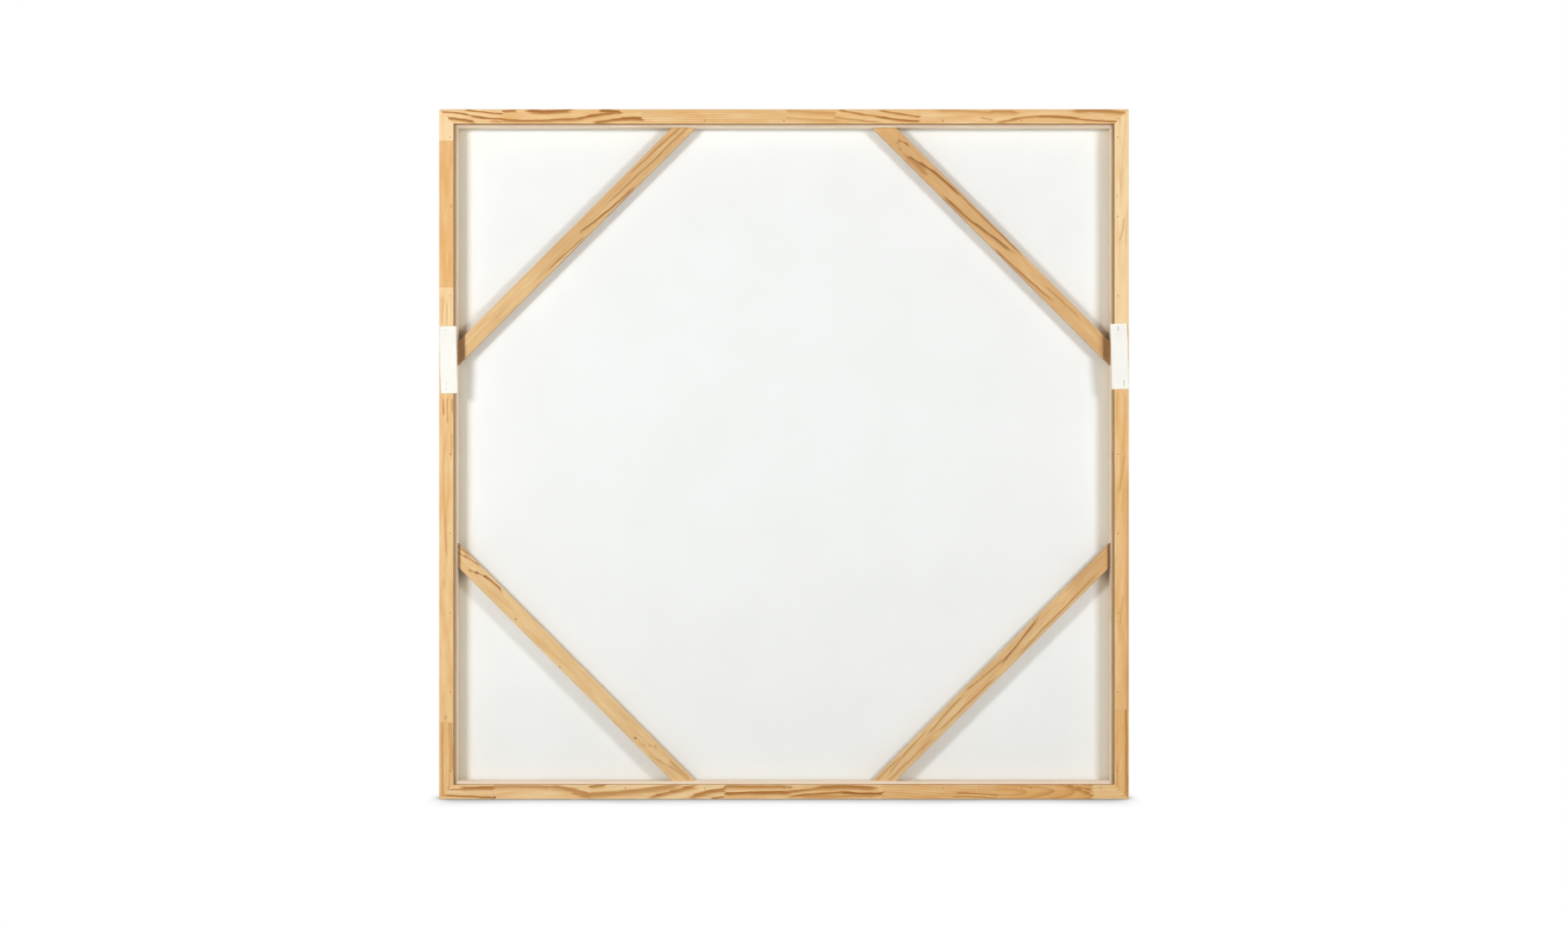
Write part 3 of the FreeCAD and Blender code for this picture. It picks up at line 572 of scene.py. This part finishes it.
def finish_stretcher():
    """The bars are pale, clear, straight-grained pine; each has grain of its own."""
    grain = (Block(0.0, 0.35, 0.35, 4.0, 60, 25, 0.01, 0.00, 0.25, 2.0),)
    for number, side in enumerate(SIDES):
        board, seed = rail_board(side), 20 + number
        material = pine(f"bar_pine_{side}", board, RAIL_LENGTH, grain, seed=seed, wood=BAR_WOOD)
        dress(material, f"stretcher_bar_{side}")


# ---------------------------------------------------------------- braces

# Like the rails' grain, a brace's is in millimetres.
BRACE_LENGTH = 610.0
BRACE_GRAIN = {
    "upper_left": Block(0.0, 0.64, 0.30, 8.0, -40, 20, -0.02, 0.00, 0.30, 4.0),
    "upper_right": Block(0.0, 0.95, 0.20, 6.5, -2, 14, 0.01, 0.06, 0.40, 4.0),
    "lower_left": Block(0.0, 0.52, 0.14, 7.0, 30, 20, 0.01, 0.03, 0.60, 4.0),
    "lower_right": Block(0.0, 0.60, 0.26, 6.0, -35, 12, 0.01, 0.01, 0.40, 3.5),
}
BRACE_STREAKS = {
    "upper_left": (
        Streak(244.0, 330.0, -8.0, -13.0, 0.5, 1.3, 0.48),
        Streak(330.0, 456.0, -2.0, -13.6, -1.5, 1.7, 0.61),
        Streak(400.0, 610.0, 1.0, -4.0, -1.5, 1.7, 0.41),
        Streak(470.0, 600.0, 10.0, 3.0, 0.5, 1.9, 0.41),
        Streak(230.0, 740.0, 0.0, 0.0, 0.0, 30.0, 0.18),
    ),
    "upper_right": (
        Streak(52.0, 74.0, 0.5, 9.0, 1.5, 1.8, 0.56),
        Streak(52.0, 72.0, -0.5, -9.0, -1.5, 1.5, 0.36),
        Streak(80.0, 205.0, -8.5, 10.4, 5.0, 2.1, 0.69),
        Streak(84.0, 134.0, -9.0, -8.0, 2.0, 4.6, 0.41),
        Streak(184.0, 340.0, -12.8, 4.0, -1.8, 2.1, 0.64),
        Streak(200.0, 352.0, 11.0, 12.0, 0.6, 1.3, 0.56),
        Streak(316.0, 452.0, -13.5, -6.5, -0.5, 1.8, 0.50),
        Streak(430.0, 508.0, 3.6, 6.2, 0.0, 1.6, 0.36),
        Streak(20.0, 330.0, 0.0, 0.0, 0.0, 30.0, 0.10),
    ),
    "lower_left": (
        Streak(4.0, 36.0, 10.0, 14.5, 0.5, 1.2, 0.48),
        Streak(14.0, 60.0, 1.0, 14.0, 1.5, 1.4, 0.45),
        Streak(54.0, 124.0, -6.0, 9.2, 7.0, 1.4, 0.66),
        Streak(496.0, 522.0, -11.0, 9.6, 2.0, 1.4, 0.28),
        Streak(524.0, 606.0, -10.0, 8.0, 1.5, 1.5, 0.27),
        Streak(556.0, 606.0, 7.0, 10.0, 0.0, 2.6, 0.27),
    ),
    "lower_right": (
        Streak(0.0, 70.0, 10.0, 9.0, 0.5, 1.5, 0.28),
        Streak(30.0, 140.0, 2.0, 9.6, 1.5, 1.4, 0.33),
        Streak(20.0, 140.0, -6.6, -8.0, 1.0, 1.4, 0.31),
        Streak(136.0, 230.0, 4.4, 7.4, 1.0, 1.4, 0.39),
        Streak(150.0, 300.0, -5.0, -10.0, -1.0, 1.7, 0.36),
        Streak(240.0, 330.0, 10.4, 4.4, -1.0, 1.6, 0.39),
        Streak(318.0, 424.0, 0.5, 11.0, -1.0, 2.2, 0.53),
        Streak(350.0, 560.0, -12.0, -8.0, 1.0, 1.8, 0.39),
        Streak(230.0, 440.0, 0.0, 0.0, 0.0, 30.0, 0.10),
        Streak(500.0, 650.0, 0.0, 0.0, 0.0, 30.0, 0.24),
    ),
}
BRACE_KNOTS = {
    "upper_left": (),
    "upper_right": (),
    "lower_left": (
        Knot(172.0, -7.6, 1.3, 0.75),
        Knot(290.0, -12.4, 1.2, 0.70),
        Knot(478.0, -7.0, 1.5, 0.85),
    ),
    "lower_right": (),
}
# How strong the painted shade on a brace's end is, from 0 to 1, and how far it reaches from the bar.
BRACE_END_SHADE = {
    "upper_left": (0.64, 0.0135),
    "upper_right": (0.62, 0.0130),
    "lower_left": (0.50, 0.0055),
    "lower_right": (0.70, 0.0055),
}


def finish_braces():
    """A brace is measured from its left end, and across from its middle line."""
    for number, (corner, grain) in enumerate(BRACE_GRAIN.items()):
        low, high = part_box(f"corner_brace_{corner}")
        # The box of a brace has its inner edge for a diagonal.
        middle = (low + high) / 2
        outward = Vector((middle.x - MIDDLE.x, 0, middle.z - MIDDLE.z)).normalized()
        middle += outward * BRACE_WIDTH / 2
        rises = corner in ("upper_left", "lower_right")
        along = Vector((1, 0, 1 if rises else -1)).normalized()
        across = Vector((-along.z, 0, along.x))
        start = middle - along * BRACE_LENGTH / 2 * MM
        board = Board(Vector((start.x, BRACE_BACK, start.z)), along, across, Y)
        material = pine(
            f"brace_pine_{corner}",
            board,
            BRACE_LENGTH,
            (grain,),
            BRACE_KNOTS[corner],
            BRACE_STREAKS[corner],
            seed=40 + 7 * number,
            wood=BRACE_WOOD,
            end_shade=BRACE_END_SHADE[corner],
        )
        dress(material, f"corner_brace_{corner}")


# ---------------------------------------------------------------- metal


GRIME = srgb(70, 62, 54)
SCRATCHES = (2500, 2500, 400)
SCRATCH_RELIEF = 0.00002


def metal(name, colour, low_roughness, grime):
    """Drawn or plated steel: fine scratches, and dull patches of grime from 0 to 1."""
    shade = Shade(name)
    place = shade.place()
    scratch = shade.noise(shade.vector("MULTIPLY", place, SCRATCHES), detail=3.0)
    patch = shade.step(shade.noise(place, scale=400, detail=3.0), 0.45, 0.75)
    dull = shade.math("MULTIPLY", patch, grime)
    tint = shade.mix(dull, colour, GRIME)
    roughness = shade.math("MULTIPLY_ADD", scratch, 0.25, low_roughness)
    shade.surface.inputs["Metallic"].default_value = 1.0
    return shade.finish(tint, roughness, scratch, SCRATCH_RELIEF)


def finish_metal():
    pins = metal("pin_steel", srgb(176, 142, 104), 0.45, 0.6)
    dress(pins, "frame_pins", "frame_v_nails")
    wire = metal("staple_steel", srgb(150, 150, 150), 0.25, 0.4)
    dress(wire, "canvas_staples", "stretcher_corner_staples", "brace_brads", "cover_staples")
    zinc = metal("zinc_plate", srgb(200, 203, 206), 0.22, 0.3)
    hangers = [f"hanger_{part}_{side}" for part in ("strap", "ring") for side in ("left", "right")]
    dress(zinc, "hanger_screws", *hangers)


# ---------------------------------------------------------------- cloth

CANVAS_WHITE = srgb(246, 250, 252)
CANVAS_SHADE = srgb(242, 246, 247)
# The bare thread on each side. Its colours differ as painted light and shade: darkest at the top and
# on the right, palest at the bottom.
BARE_COTTON_LIGHT_AND_SHADE = {
    "top": srgb(215, 193, 168),
    "bottom": srgb(254, 240, 220),
    "left": srgb(231, 206, 170),
    "right": srgb(211, 184, 144),
}
# How far the warmer tint reaches from the bars, and its share next to the top and bottom ones.
WARM_TINT = srgb(243, 237, 224)
WARM_TINT_REACH = 0.035
WARM_TINT_ENDS = 0.15
# How far the painted shade in the corners by the brace ends reaches inward and upward, and how dark it
# is from 0 to 1.
POCKET_SHADE = srgb(196, 180, 166)
POCKET_SHADE_REACH = (0.018, 0.026)
POCKET_SHADE_SHARE = 0.9
CANVAS_THREAD = 0.00055
CANVAS_RELIEF = 0.00008
FELT_RELIEF = 0.00015


def tinted_and_shaded_back(shade, place, colour):
    """The back of the cloth is tinted warmer next to the side bars, and a little next to the others.
    It is darkened in the sharp corners between the side bars and the braces, as painted shade."""
    aside, above = shade.from_middle(place)
    near_side, near_end = (
        shade.step(off, BAR_INNER - WARM_TINT_REACH, BAR_INNER) for off in (aside, above)
    )
    near_end = shade.math("MULTIPLY", near_end, WARM_TINT_ENDS)
    facing = shade.split(shade.nodes.new("ShaderNodeTexCoord").outputs["Normal"])[1]
    at_back = shade.step(facing, 0.0, -0.5)
    warm_tinted = shade.math("MULTIPLY", shade.math("MAXIMUM", near_side, near_end), at_back)
    colour = shade.mix(warm_tinted, colour, WARM_TINT)

    # Painted shade in the corners where a brace's end meets a side bar, where two shadows overlap.
    inward, upward = POCKET_SHADE_REACH
    across = shade.math("MULTIPLY_ADD", aside, 1 / inward, -BAR_INNER / inward)
    upright = shade.math("MULTIPLY_ADD", above, 1 / upward, -POCKET / upward)
    off = shade.math("MULTIPLY_ADD", across, across, shade.math("MULTIPLY", upright, upright))
    pocket_shade = shade.math("MULTIPLY", shade.step(shade.math("SQRT", off), 1.4, 0.4), at_back)
    return shade.mix(shade.math("MULTIPLY", pocket_shade, POCKET_SHADE_SHARE), colour, POCKET_SHADE)


def bare_edges(shade, place, colour, bare_from):
    """The primer ends where the cloth turns onto the backs of the bars, at this depth along Y, and
    leaves the bare thread, of another colour on each side, as painted light and shade."""
    x, y, z = shade.split(place)
    aside, above = shade.from_middle(place)
    rightward = shade.math("GREATER_THAN", x, MIDDLE.x)
    on_side = shade.mix(rightward, BARE_COTTON_LIGHT_AND_SHADE["left"], BARE_COTTON_LIGHT_AND_SHADE["right"])
    upward = shade.math("GREATER_THAN", z, MIDDLE.z)
    on_end = shade.mix(upward, BARE_COTTON_LIGHT_AND_SHADE["bottom"], BARE_COTTON_LIGHT_AND_SHADE["top"])
    thread = shade.mix(shade.math("GREATER_THAN", aside, above), on_end, on_side)
    return shade.mix(shade.step(y, bare_from + 0.001, bare_from), colour, thread)


def primed_canvas(bare_from):
    """Plain weave with slow changes of tone, a warm tint and painted shade on its back, and bare past
    this depth along Y.
    """
    shade = Shade("primed_canvas")
    place = shade.place()
    x, y, z = shade.split(place)
    turn = math.pi / CANVAS_THREAD
    # The turned edges show their threads along Y, so Y joins both directions.
    warp = shade.math("SINE", shade.math("MULTIPLY", shade.math("ADD", x, y), turn))
    weft = shade.math("SINE", shade.math("MULTIPLY", shade.math("ADD", z, y), turn))
    weave = shade.math("MULTIPLY_ADD", shade.math("MULTIPLY", warp, weft), 0.25, 0.5)
    slub = shade.noise(shade.vector("MULTIPLY", place, (90, 90, 900)), detail=3.0)
    cross_slub = shade.noise(shade.vector("MULTIPLY", place, (900, 90, 90)), detail=3.0)
    cloud = shade.noise(place, scale=7.0, detail=2.0)
    blend = shade.math("MULTIPLY", shade.math("ADD", slub, cross_slub), 0.25)
    blend = shade.math("MULTIPLY_ADD", cloud, 0.5, blend)
    colour = shade.mix(shade.step(blend, 0.3, 0.75), CANVAS_WHITE, CANVAS_SHADE)
    colour = tinted_and_shaded_back(shade, place, colour)
    colour = bare_edges(shade, place, colour, bare_from)
    height = shade.math("MULTIPLY_ADD", slub, 0.5, weave)
    height = shade.math("MULTIPLY_ADD", cross_slub, 0.5, height)
    roughness = shade.math("MULTIPLY_ADD", slub, 0.1, 0.8)
    shade.surface.inputs["Specular IOR Level"].default_value = 0.2
    return shade.finish(colour, roughness, height, CANVAS_RELIEF)


def felted(name, colour, tint):
    """Pressed fibre: a fine fuzz with no weave."""
    shade = Shade(name)
    place = shade.place()
    fuzz = shade.noise(place, scale=1600, detail=4.0, roughness=0.7)
    cloud = shade.noise(place, scale=60, detail=2.0)
    blend = shade.math("MULTIPLY_ADD", fuzz, 0.5, shade.math("MULTIPLY", cloud, 0.5))
    mixed = shade.mix(blend, colour, tint)
    roughness = shade.math("MULTIPLY_ADD", fuzz, 0.1, 0.82)
    shade.surface.inputs["Specular IOR Level"].default_value = 0.2
    return shade.finish(mixed, roughness, fuzz, FELT_RELIEF)


def mesh_piece(name, points, faces, material, smooth=True):
    mesh = bpy.data.meshes.new(name)
    mesh.from_pydata([tuple(point) for point in points], [], faces)
    mesh.update()
    piece = bpy.data.objects.new(name, mesh)
    bpy.context.scene.collection.objects.link(piece)
    mesh.materials.append(material)
    for face in mesh.polygons:
        face.use_smooth = smooth
    return piece


def grid_faces(columns, rows):
    """The squares between points that are given row by row."""
    width = columns + 1
    return [
        (first, first + 1, first + width + 1, first + width)
        for row in range(rows)
        for first in range(row * width, row * width + columns)
    ]


def apply(piece, modifier):
    bpy.context.view_layer.objects.active = piece
    bpy.ops.object.modifier_apply(modifier=modifier.name)


def thicken(piece, thickness):
    """Gives a sheet its thickness, half to each side, and keeps its cut edges square."""
    solid = piece.modifiers.new("thickness", "SOLIDIFY")
    solid.thickness = thickness
    solid.offset = 0.0
    solid.use_even_offset = True
    apply(piece, solid)


def wander(position, wavelength, seed):
    """Smooth noise of -1 to 1 along a line."""
    return noise.noise(Vector((position / wavelength, seed, 0.5 * seed)))


CLOTH_THICK = 0.0006
CLOTH_CELLS = 120
# The radius of the sheet's turns, how far its cut edge stays from a bar's inner edge, and how far
# its face sinks between the bars.
CLOTH_TURN = 0.0012
CLOTH_END = 0.0012
CLOTH_SAG = 0.0004
# Where the sheet has rows of points: degrees of its two turns, and shares of the way back along its
# side and inward along its flap.
FACE_TURNS = (15, 35, 55, 75, 90)
BACK_TURNS = (0, 30, 60, 90)
SIDE_STATIONS = (0.25, 0.5, 0.75)
FLAP_STATIONS = (0.35, 0.62, 0.8, 0.92, 1.0)
# How far along from a corner the folds reach, and how far the cloth lifts there and elsewhere.
FOLD_REACH = 0.03
FOLD_LIFT = 0.0011
FREE_LIFT = 0.0003
# How far the cut edge strays to each side, and over what length, quickly and slowly.
EDGE_RIPPLE = (0.0011, 0.045)
EDGE_DRIFT = (0.0009, 0.16)


def cloth_profile():
    """From the face's edge over the bead, along the side and onto the backs of the bars.

    Each station is (half size of the square, depth, share of the way along the flap)."""
    low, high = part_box("canvas_cloth")
    skin = CLOTH_THICK / 2
    edge = high.x - skin
    front, back = high.y - skin, low.y + skin
    stations = []
    for turn in FACE_TURNS:
        angle = math.radians(turn)
        out = edge - CLOTH_TURN + CLOTH_TURN * math.sin(angle)
        stations.append((out, front - CLOTH_TURN + CLOTH_TURN * math.cos(angle), 0.0))
    for share in SIDE_STATIONS:
        stations.append((edge, front + share * (back - front), 0.0))
    for turn in BACK_TURNS:
        angle = math.radians(turn)
        out = edge - CLOTH_TURN + CLOTH_TURN * math.cos(angle)
        stations.append((out, back + CLOTH_TURN - CLOTH_TURN * math.sin(angle), 0.0))
    start = edge - CLOTH_TURN
    end = BAR_INNER + CLOTH_END
    for share in FLAP_STATIONS:
        stations.append((start + share * (end - start), back, share))
    return stations


def square_ring(half, depth, cells, middle):
    """Points round a square, from its lower left corner along the bottom, right, top and left."""
    steps = np.linspace(-half, half, cells + 1)[:-1]
    sides = (
        [(s, -half) for s in steps],
        [(half, s) for s in steps],
        [(-s, half) for s in steps],
        [(-half, -s) for s in steps],
    )
    return [Vector((middle.x + x, depth, middle.z + z)) for side in sides for x, z in side]


def shape_flap(point, share, middle):
    """The cut edge wanders, and the folded cloth stands off the bars near the corners."""
    x, z = point.x - middle.x, point.z - middle.z
    along, out = (z, abs(x)) if abs(x) > abs(z) else (x, abs(z))
    seed = 3.0 if abs(x) > abs(z) else 8.0
    seed += 1.7 * (x > 0) + 2.9 * (z > 0)
    stray = EDGE_RIPPLE[0] * wander(along, EDGE_RIPPLE[1], seed)
    stray += EDGE_DRIFT[0] * wander(along, EDGE_DRIFT[1], seed + 5)
    shift = share**3 * stray
    if abs(x) > abs(z):
        point.x += math.copysign(shift, x)
    else:
        point.z += math.copysign(shift, z)
    # Past the ledge's inner edge the cloth is free to lift a little.
    free = min(max((LEDGE_INNER - out) / 0.003, 0.0), 1.0)
    corner = max(0.0, 1 - (out - abs(along)) / FOLD_REACH)
    lift = FREE_LIFT * (1 + wander(along, 0.03, seed + 11))
    lift += FOLD_LIFT * corner * (1.2 + wander(along, 0.006, seed))
    point.y -= free * lift


def canvas():
    """One sheet of primed canvas: face, turned sides and flaps, pulled tight over the bars."""
    low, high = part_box("canvas_cloth")
    middle = (low + high) / 2
    stations = cloth_profile()
    cells = CLOTH_CELLS
    face_half = stations[0][0]
    points, faces = [], grid_faces(cells, cells)
    steps = np.linspace(-face_half, face_half, cells + 1)
    for row, z in enumerate(steps):
        for column, x in enumerate(steps):
            rim = min(row, column, cells - row, cells - column) / cells
            ease = min(rim * 12, 1.0)
            ripple = noise.noise(Vector((x * 2.2, z * 2.2, 4.0)))
            ripple += 0.4 * noise.noise(Vector((x * 7, z * 7, 9)))
            depth = stations[0][1] - CLOTH_SAG * ease * (0.5 + 0.5 * ripple)
            points.append(Vector((middle.x + x, depth, middle.z + z)))
    width = cells + 1
    bottom = list(range(cells))
    right = [row * width + cells for row in range(cells)]
    top = [cells * width + cells - column for column in range(cells)]
    left = [(cells - row) * width for row in range(cells)]
    ring = bottom + right + top + left
    for half, depth, share in stations[1:]:
        following = []
        for point in square_ring(half, depth, cells, middle):
            if share:
                shape_flap(point, share, middle)
            following.append(len(points))
            points.append(point)
        for index in range(len(ring)):
            after = (index + 1) % len(ring)
            faces.append((ring[index], following[index], following[after], ring[after]))
        ring = following
    material = primed_canvas(low.y + 2 * CLOTH_THICK)
    piece = mesh_piece("canvas_sheet", points, faces, material)
    thicken(piece, CLOTH_THICK)
    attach(piece, MAIN_BODY)
    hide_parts("canvas_cloth")
    depth = high.y - low.y


# ---------------------------------------------------------------- cover strips

COVER_WIDTH = 0.030
COVER_LENGTH = {"left": 0.121, "right": 0.118}
COVER_THICK = 0.0015
# A strip is cut this much longer than it is seen, to rise over the hanger.
COVER_SPARE = 0.0015
COVER_TILT = {"left": math.radians(-1.1), "right": math.radians(-1.6)}
# Its underside rises this far between these places along it, and comes down to its foot.
COVER_RISE = 0.0060
COVER_HANGER = (-0.004, 0.024)
COVER_FOOT = 0.062
COVER_CROWN = 0.0003
COVER_CELLS = (40, 150)
# How far its long edges stray, and over what length.
COVER_STRAY = (0.00025, 0.02)
COVER_GAP = 0.00002
COVER_ROUNDING = 0.0003
# How far a staple's crown stands off the rail and out of the strip, and how far the strip dips
# over the crown's ends.
STAPLE_STAND = 0.002
STAPLE_HALF_LENGTH = 0.0045
STAPLE_SHOWS = {"left": -0.0002, "right": 0.0004}
DIMPLE_REACH = 0.005
LEG_PRESS = {"left": 0.0009, "right": 0.0}
LEG_REACH = 0.0012


def cover_height(along, across):
    """How far the underside of a strip stands off the rail, at a point of the strip."""
    low, high = COVER_HANGER
    from_below = (COVER_FOOT + along) / (COVER_FOOT + low)
    from_above = (COVER_FOOT - along) / (COVER_FOOT - high)
    share = min(max(min(from_below, from_above), 0.0), 1.0)
    rise = COVER_RISE * share * share * (3 - 2 * share)
    crown = COVER_CROWN * share * (1 - (across / COVER_WIDTH * 2) ** 2)
    return rise + crown


def beside_staple(height, point, staple, side):
    """The strip's height next to a staple. The left ones are sunk, and only their two ends show."""
    x, z = point.x - staple.x, point.z - staple.z
    reach = math.hypot(1.6 * x, 0.5 * z) / DIMPLE_REACH
    held = STAPLE_STAND - STAPLE_SHOWS[side] - COVER_THICK / 2
    height += (held - height) * math.exp(-reach * reach)
    leg = math.hypot(x, abs(z) - STAPLE_HALF_LENGTH) / LEG_REACH
    return height - LEG_PRESS[side] * math.exp(-leg * leg)


def cover_strip(side, sign, material):
    """A soft strip stapled down at both ends, arched over the hanger between them."""
    node = f"cover_strip_{side}"
    low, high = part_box(node)
    centre = (low + high) / 2
    staples = [point for point in staple_places() if point.x * sign > 0]
    turn = Matrix.Rotation(COVER_TILT[side], 3, "Y")
    columns, rows = COVER_CELLS
    points = []
    for row in range(rows + 1):
        along = COVER_LENGTH[side] * (row / rows - 0.5)
        for column in range(columns + 1):
            across = COVER_WIDTH * (column / columns - 0.5)
            stray = COVER_STRAY[0] * wander(along, COVER_STRAY[1], sign + column // columns)
            flat = turn @ Vector((across + stray * abs(2 * column / columns - 1) ** 8, 0, along))
            point = Vector((centre.x, BACK, centre.z)) + flat
            height = cover_height(along, across) + COVER_THICK / 2
            for staple in staples:
                height = beside_staple(height, point, staple, side)
            point.y = BACK - height - COVER_GAP
            points.append(point)
    piece = mesh_piece(f"{node}_felt", points, grid_faces(columns, rows), material)
    thicken(piece, COVER_THICK)
    bevel = piece.modifiers.new("soft_edge", "BEVEL")
    bevel.width = COVER_ROUNDING
    bevel.segments = 2
    bevel.limit_method = "ANGLE"
    apply(piece, bevel)
    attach(piece, MAIN_BODY)
    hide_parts(node)
    flat = (COVER_WIDTH, COVER_LENGTH[side] + COVER_SPARE)


def staple_places():
    """The middle of each staple over the cover strips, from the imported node's separate solids."""
    mesh = NODES["cover_staples"].data
    corners = np.array([vertex.co for vertex in mesh.vertices])
    found = []
    for sign in (-1, 1):
        one_side = corners[corners[:, 0] * sign > 0]
        split = (one_side[:, 2].min() + one_side[:, 2].max()) / 2
        for part in (one_side[one_side[:, 2] < split], one_side[one_side[:, 2] >= split]):
            found.append(Vector((part.min(0) + part.max(0)) / 2))
    return found


def cover_strips():
    material = felted("cover_felt", srgb(253, 253, 248), srgb(245, 245, 240))
    cover_strip("left", -1, material)
    cover_strip("right", 1, material)


# ---------------------------------------------------------------- stage, light and camera

# The camera's lens and its sensor's width are in millimetres.
CAMERA_DISTANCE = 5.7
CAMERA_DROP = 0.0185
LENS = 72.5
SENSOR_WIDTH = 36.0
AMBIENT = 0.22
AMBIENT_TINT = (1.0, 0.90, 0.79, 1.0)
# How far from the object the floor darkens, how strongly, and over what length its two ends fade.
SHADOW_REACH = 0.145
SHADOW_DEPTH = 1.95
SHADOW_FADE = 0.05
FLOOR_REACH = 30.0
FLOOR_GREY = srgb(217, 217, 214)

# A square lamp aimed at the object's middle: its place, its power in watts and its width.
Lamp = namedtuple("Lamp", "place power width")
LAMPS = {
    "back_left": Lamp((-1.72, BACK - 2.53, 1.38), 43.0, 0.62),
    "back_right": Lamp((1.95, BACK - 2.53, 1.38), 36.9, 0.62),
    "front_left": Lamp((-2.2, 2.6, 1.7), 58.0, 0.9),
    "front_right": Lamp((2.2, 2.6, 1.7), 52.0, 0.9),
}


def white_to_eye(nodes, links, plain, shown):
    """Mixes two shaders: shown is what the camera, mirrors and glass see, plain is everyone else's."""
    path = nodes.new("ShaderNodeLightPath")
    seen = path.outputs["Is Camera Ray"]
    for kind in ("Is Glossy Ray", "Is Transmission Ray"):
        either = nodes.new("ShaderNodeMath")
        either.operation = "MAXIMUM"
        links.new(seen, either.inputs[0])
        links.new(path.outputs[kind], either.inputs[1])
        seen = either.outputs[0]
    mix = nodes.new("ShaderNodeMixShader")
    for source, socket in zip((seen, plain.outputs[0], shown.outputs[0]), mix.inputs):
        links.new(source, socket)
    return mix


def surroundings():
    world = bpy.data.worlds.new("studio")
    bpy.context.scene.world = world
    world.use_nodes = True
    nodes, links = world.node_tree.nodes, world.node_tree.links
    plain = nodes["Background"]
    plain.inputs["Color"].default_value = AMBIENT_TINT
    plain.inputs["Strength"].default_value = AMBIENT
    shown = nodes.new("ShaderNodeBackground")
    shown.inputs["Color"].default_value = (1, 1, 1, 1)
    shown.inputs["Strength"].default_value = 1.0
    mix = white_to_eye(nodes, links, plain, shown)
    links.new(mix.outputs[0], nodes["World Output"].inputs["Surface"])


def floor():
    """Plain and pale; it shows white, darkening only close in front of what stands on it and behind.

    The darkening is a painted shadow from ambient occlusion, not cast by the lamps, and a mask
    fades it out past the object's two ends."""
    far = FLOOR_REACH
    corners = [(-far, -far, 0), (far, -far, 0), (far, far, 0), (-far, far, 0)]
    shade = Shade("floor_white")
    nodes, links = shade.nodes, shade.links
    plain = shade.surface
    plain.inputs["Base Color"].default_value = FLOOR_GREY
    plain.inputs["Roughness"].default_value = 0.9
    # Painted shadow: ambient occlusion darkens the floor's shown white close to the object.
    near = nodes.new("ShaderNodeAmbientOcclusion")
    near.inputs["Distance"].default_value = SHADOW_REACH
    near.samples = 16
    aside, _ = shade.from_middle(shade.place())
    between = shade.step(aside, HALF_SIZE + SHADOW_FADE / 2, HALF_SIZE - SHADOW_FADE / 2)
    deepen = nodes.new("ShaderNodeGamma")
    shade.set(deepen.inputs["Gamma"], shade.math("MULTIPLY", between, SHADOW_DEPTH))
    links.new(near.outputs["Color"], deepen.inputs["Color"])
    shown = nodes.new("ShaderNodeEmission")
    shown.inputs["Strength"].default_value = 1.0
    links.new(deepen.outputs[0], shown.inputs["Color"])
    mix = white_to_eye(nodes, links, plain, shown)
    links.new(mix.outputs[0], nodes["Material Output"].inputs["Surface"])
    piece = mesh_piece("floor", corners, [(0, 1, 2, 3)], shade.material, smooth=False)


def lights():
    """A soft lamp to each side of the back, a little above its top, and two wider ones in front."""
    for name, (place, power, width) in LAMPS.items():
        data = bpy.data.lights.new(name, "AREA")
        data.energy = power
        data.shape = "SQUARE"
        data.size = width
        item = bpy.data.objects.new(name, data)
        item.location = place
        item.rotation_euler = (MIDDLE - Vector(place)).to_track_quat("-Z", "Y").to_euler()
        bpy.context.scene.collection.objects.link(item)


def camera():
    data = bpy.data.cameras.new("camera")
    data.lens = LENS
    data.sensor_width = SENSOR_WIDTH
    data.clip_end = 100.0
    item = bpy.data.objects.new("camera", data)
    item.location = (MIDDLE.x, BACK - CAMERA_DISTANCE, MIDDLE.z - CAMERA_DROP)
    item.rotation_euler = (math.pi / 2, 0, 0)
    bpy.context.scene.collection.objects.link(item)
    bpy.context.scene.camera = item
    bpy.context.scene.view_settings.view_transform = "Standard"


# ---------------------------------------------------------------- everything

camera()
finish_frame()
finish_stretcher()
finish_braces()
finish_metal()
canvas()
cover_strips()
surroundings()
floor()
lights()
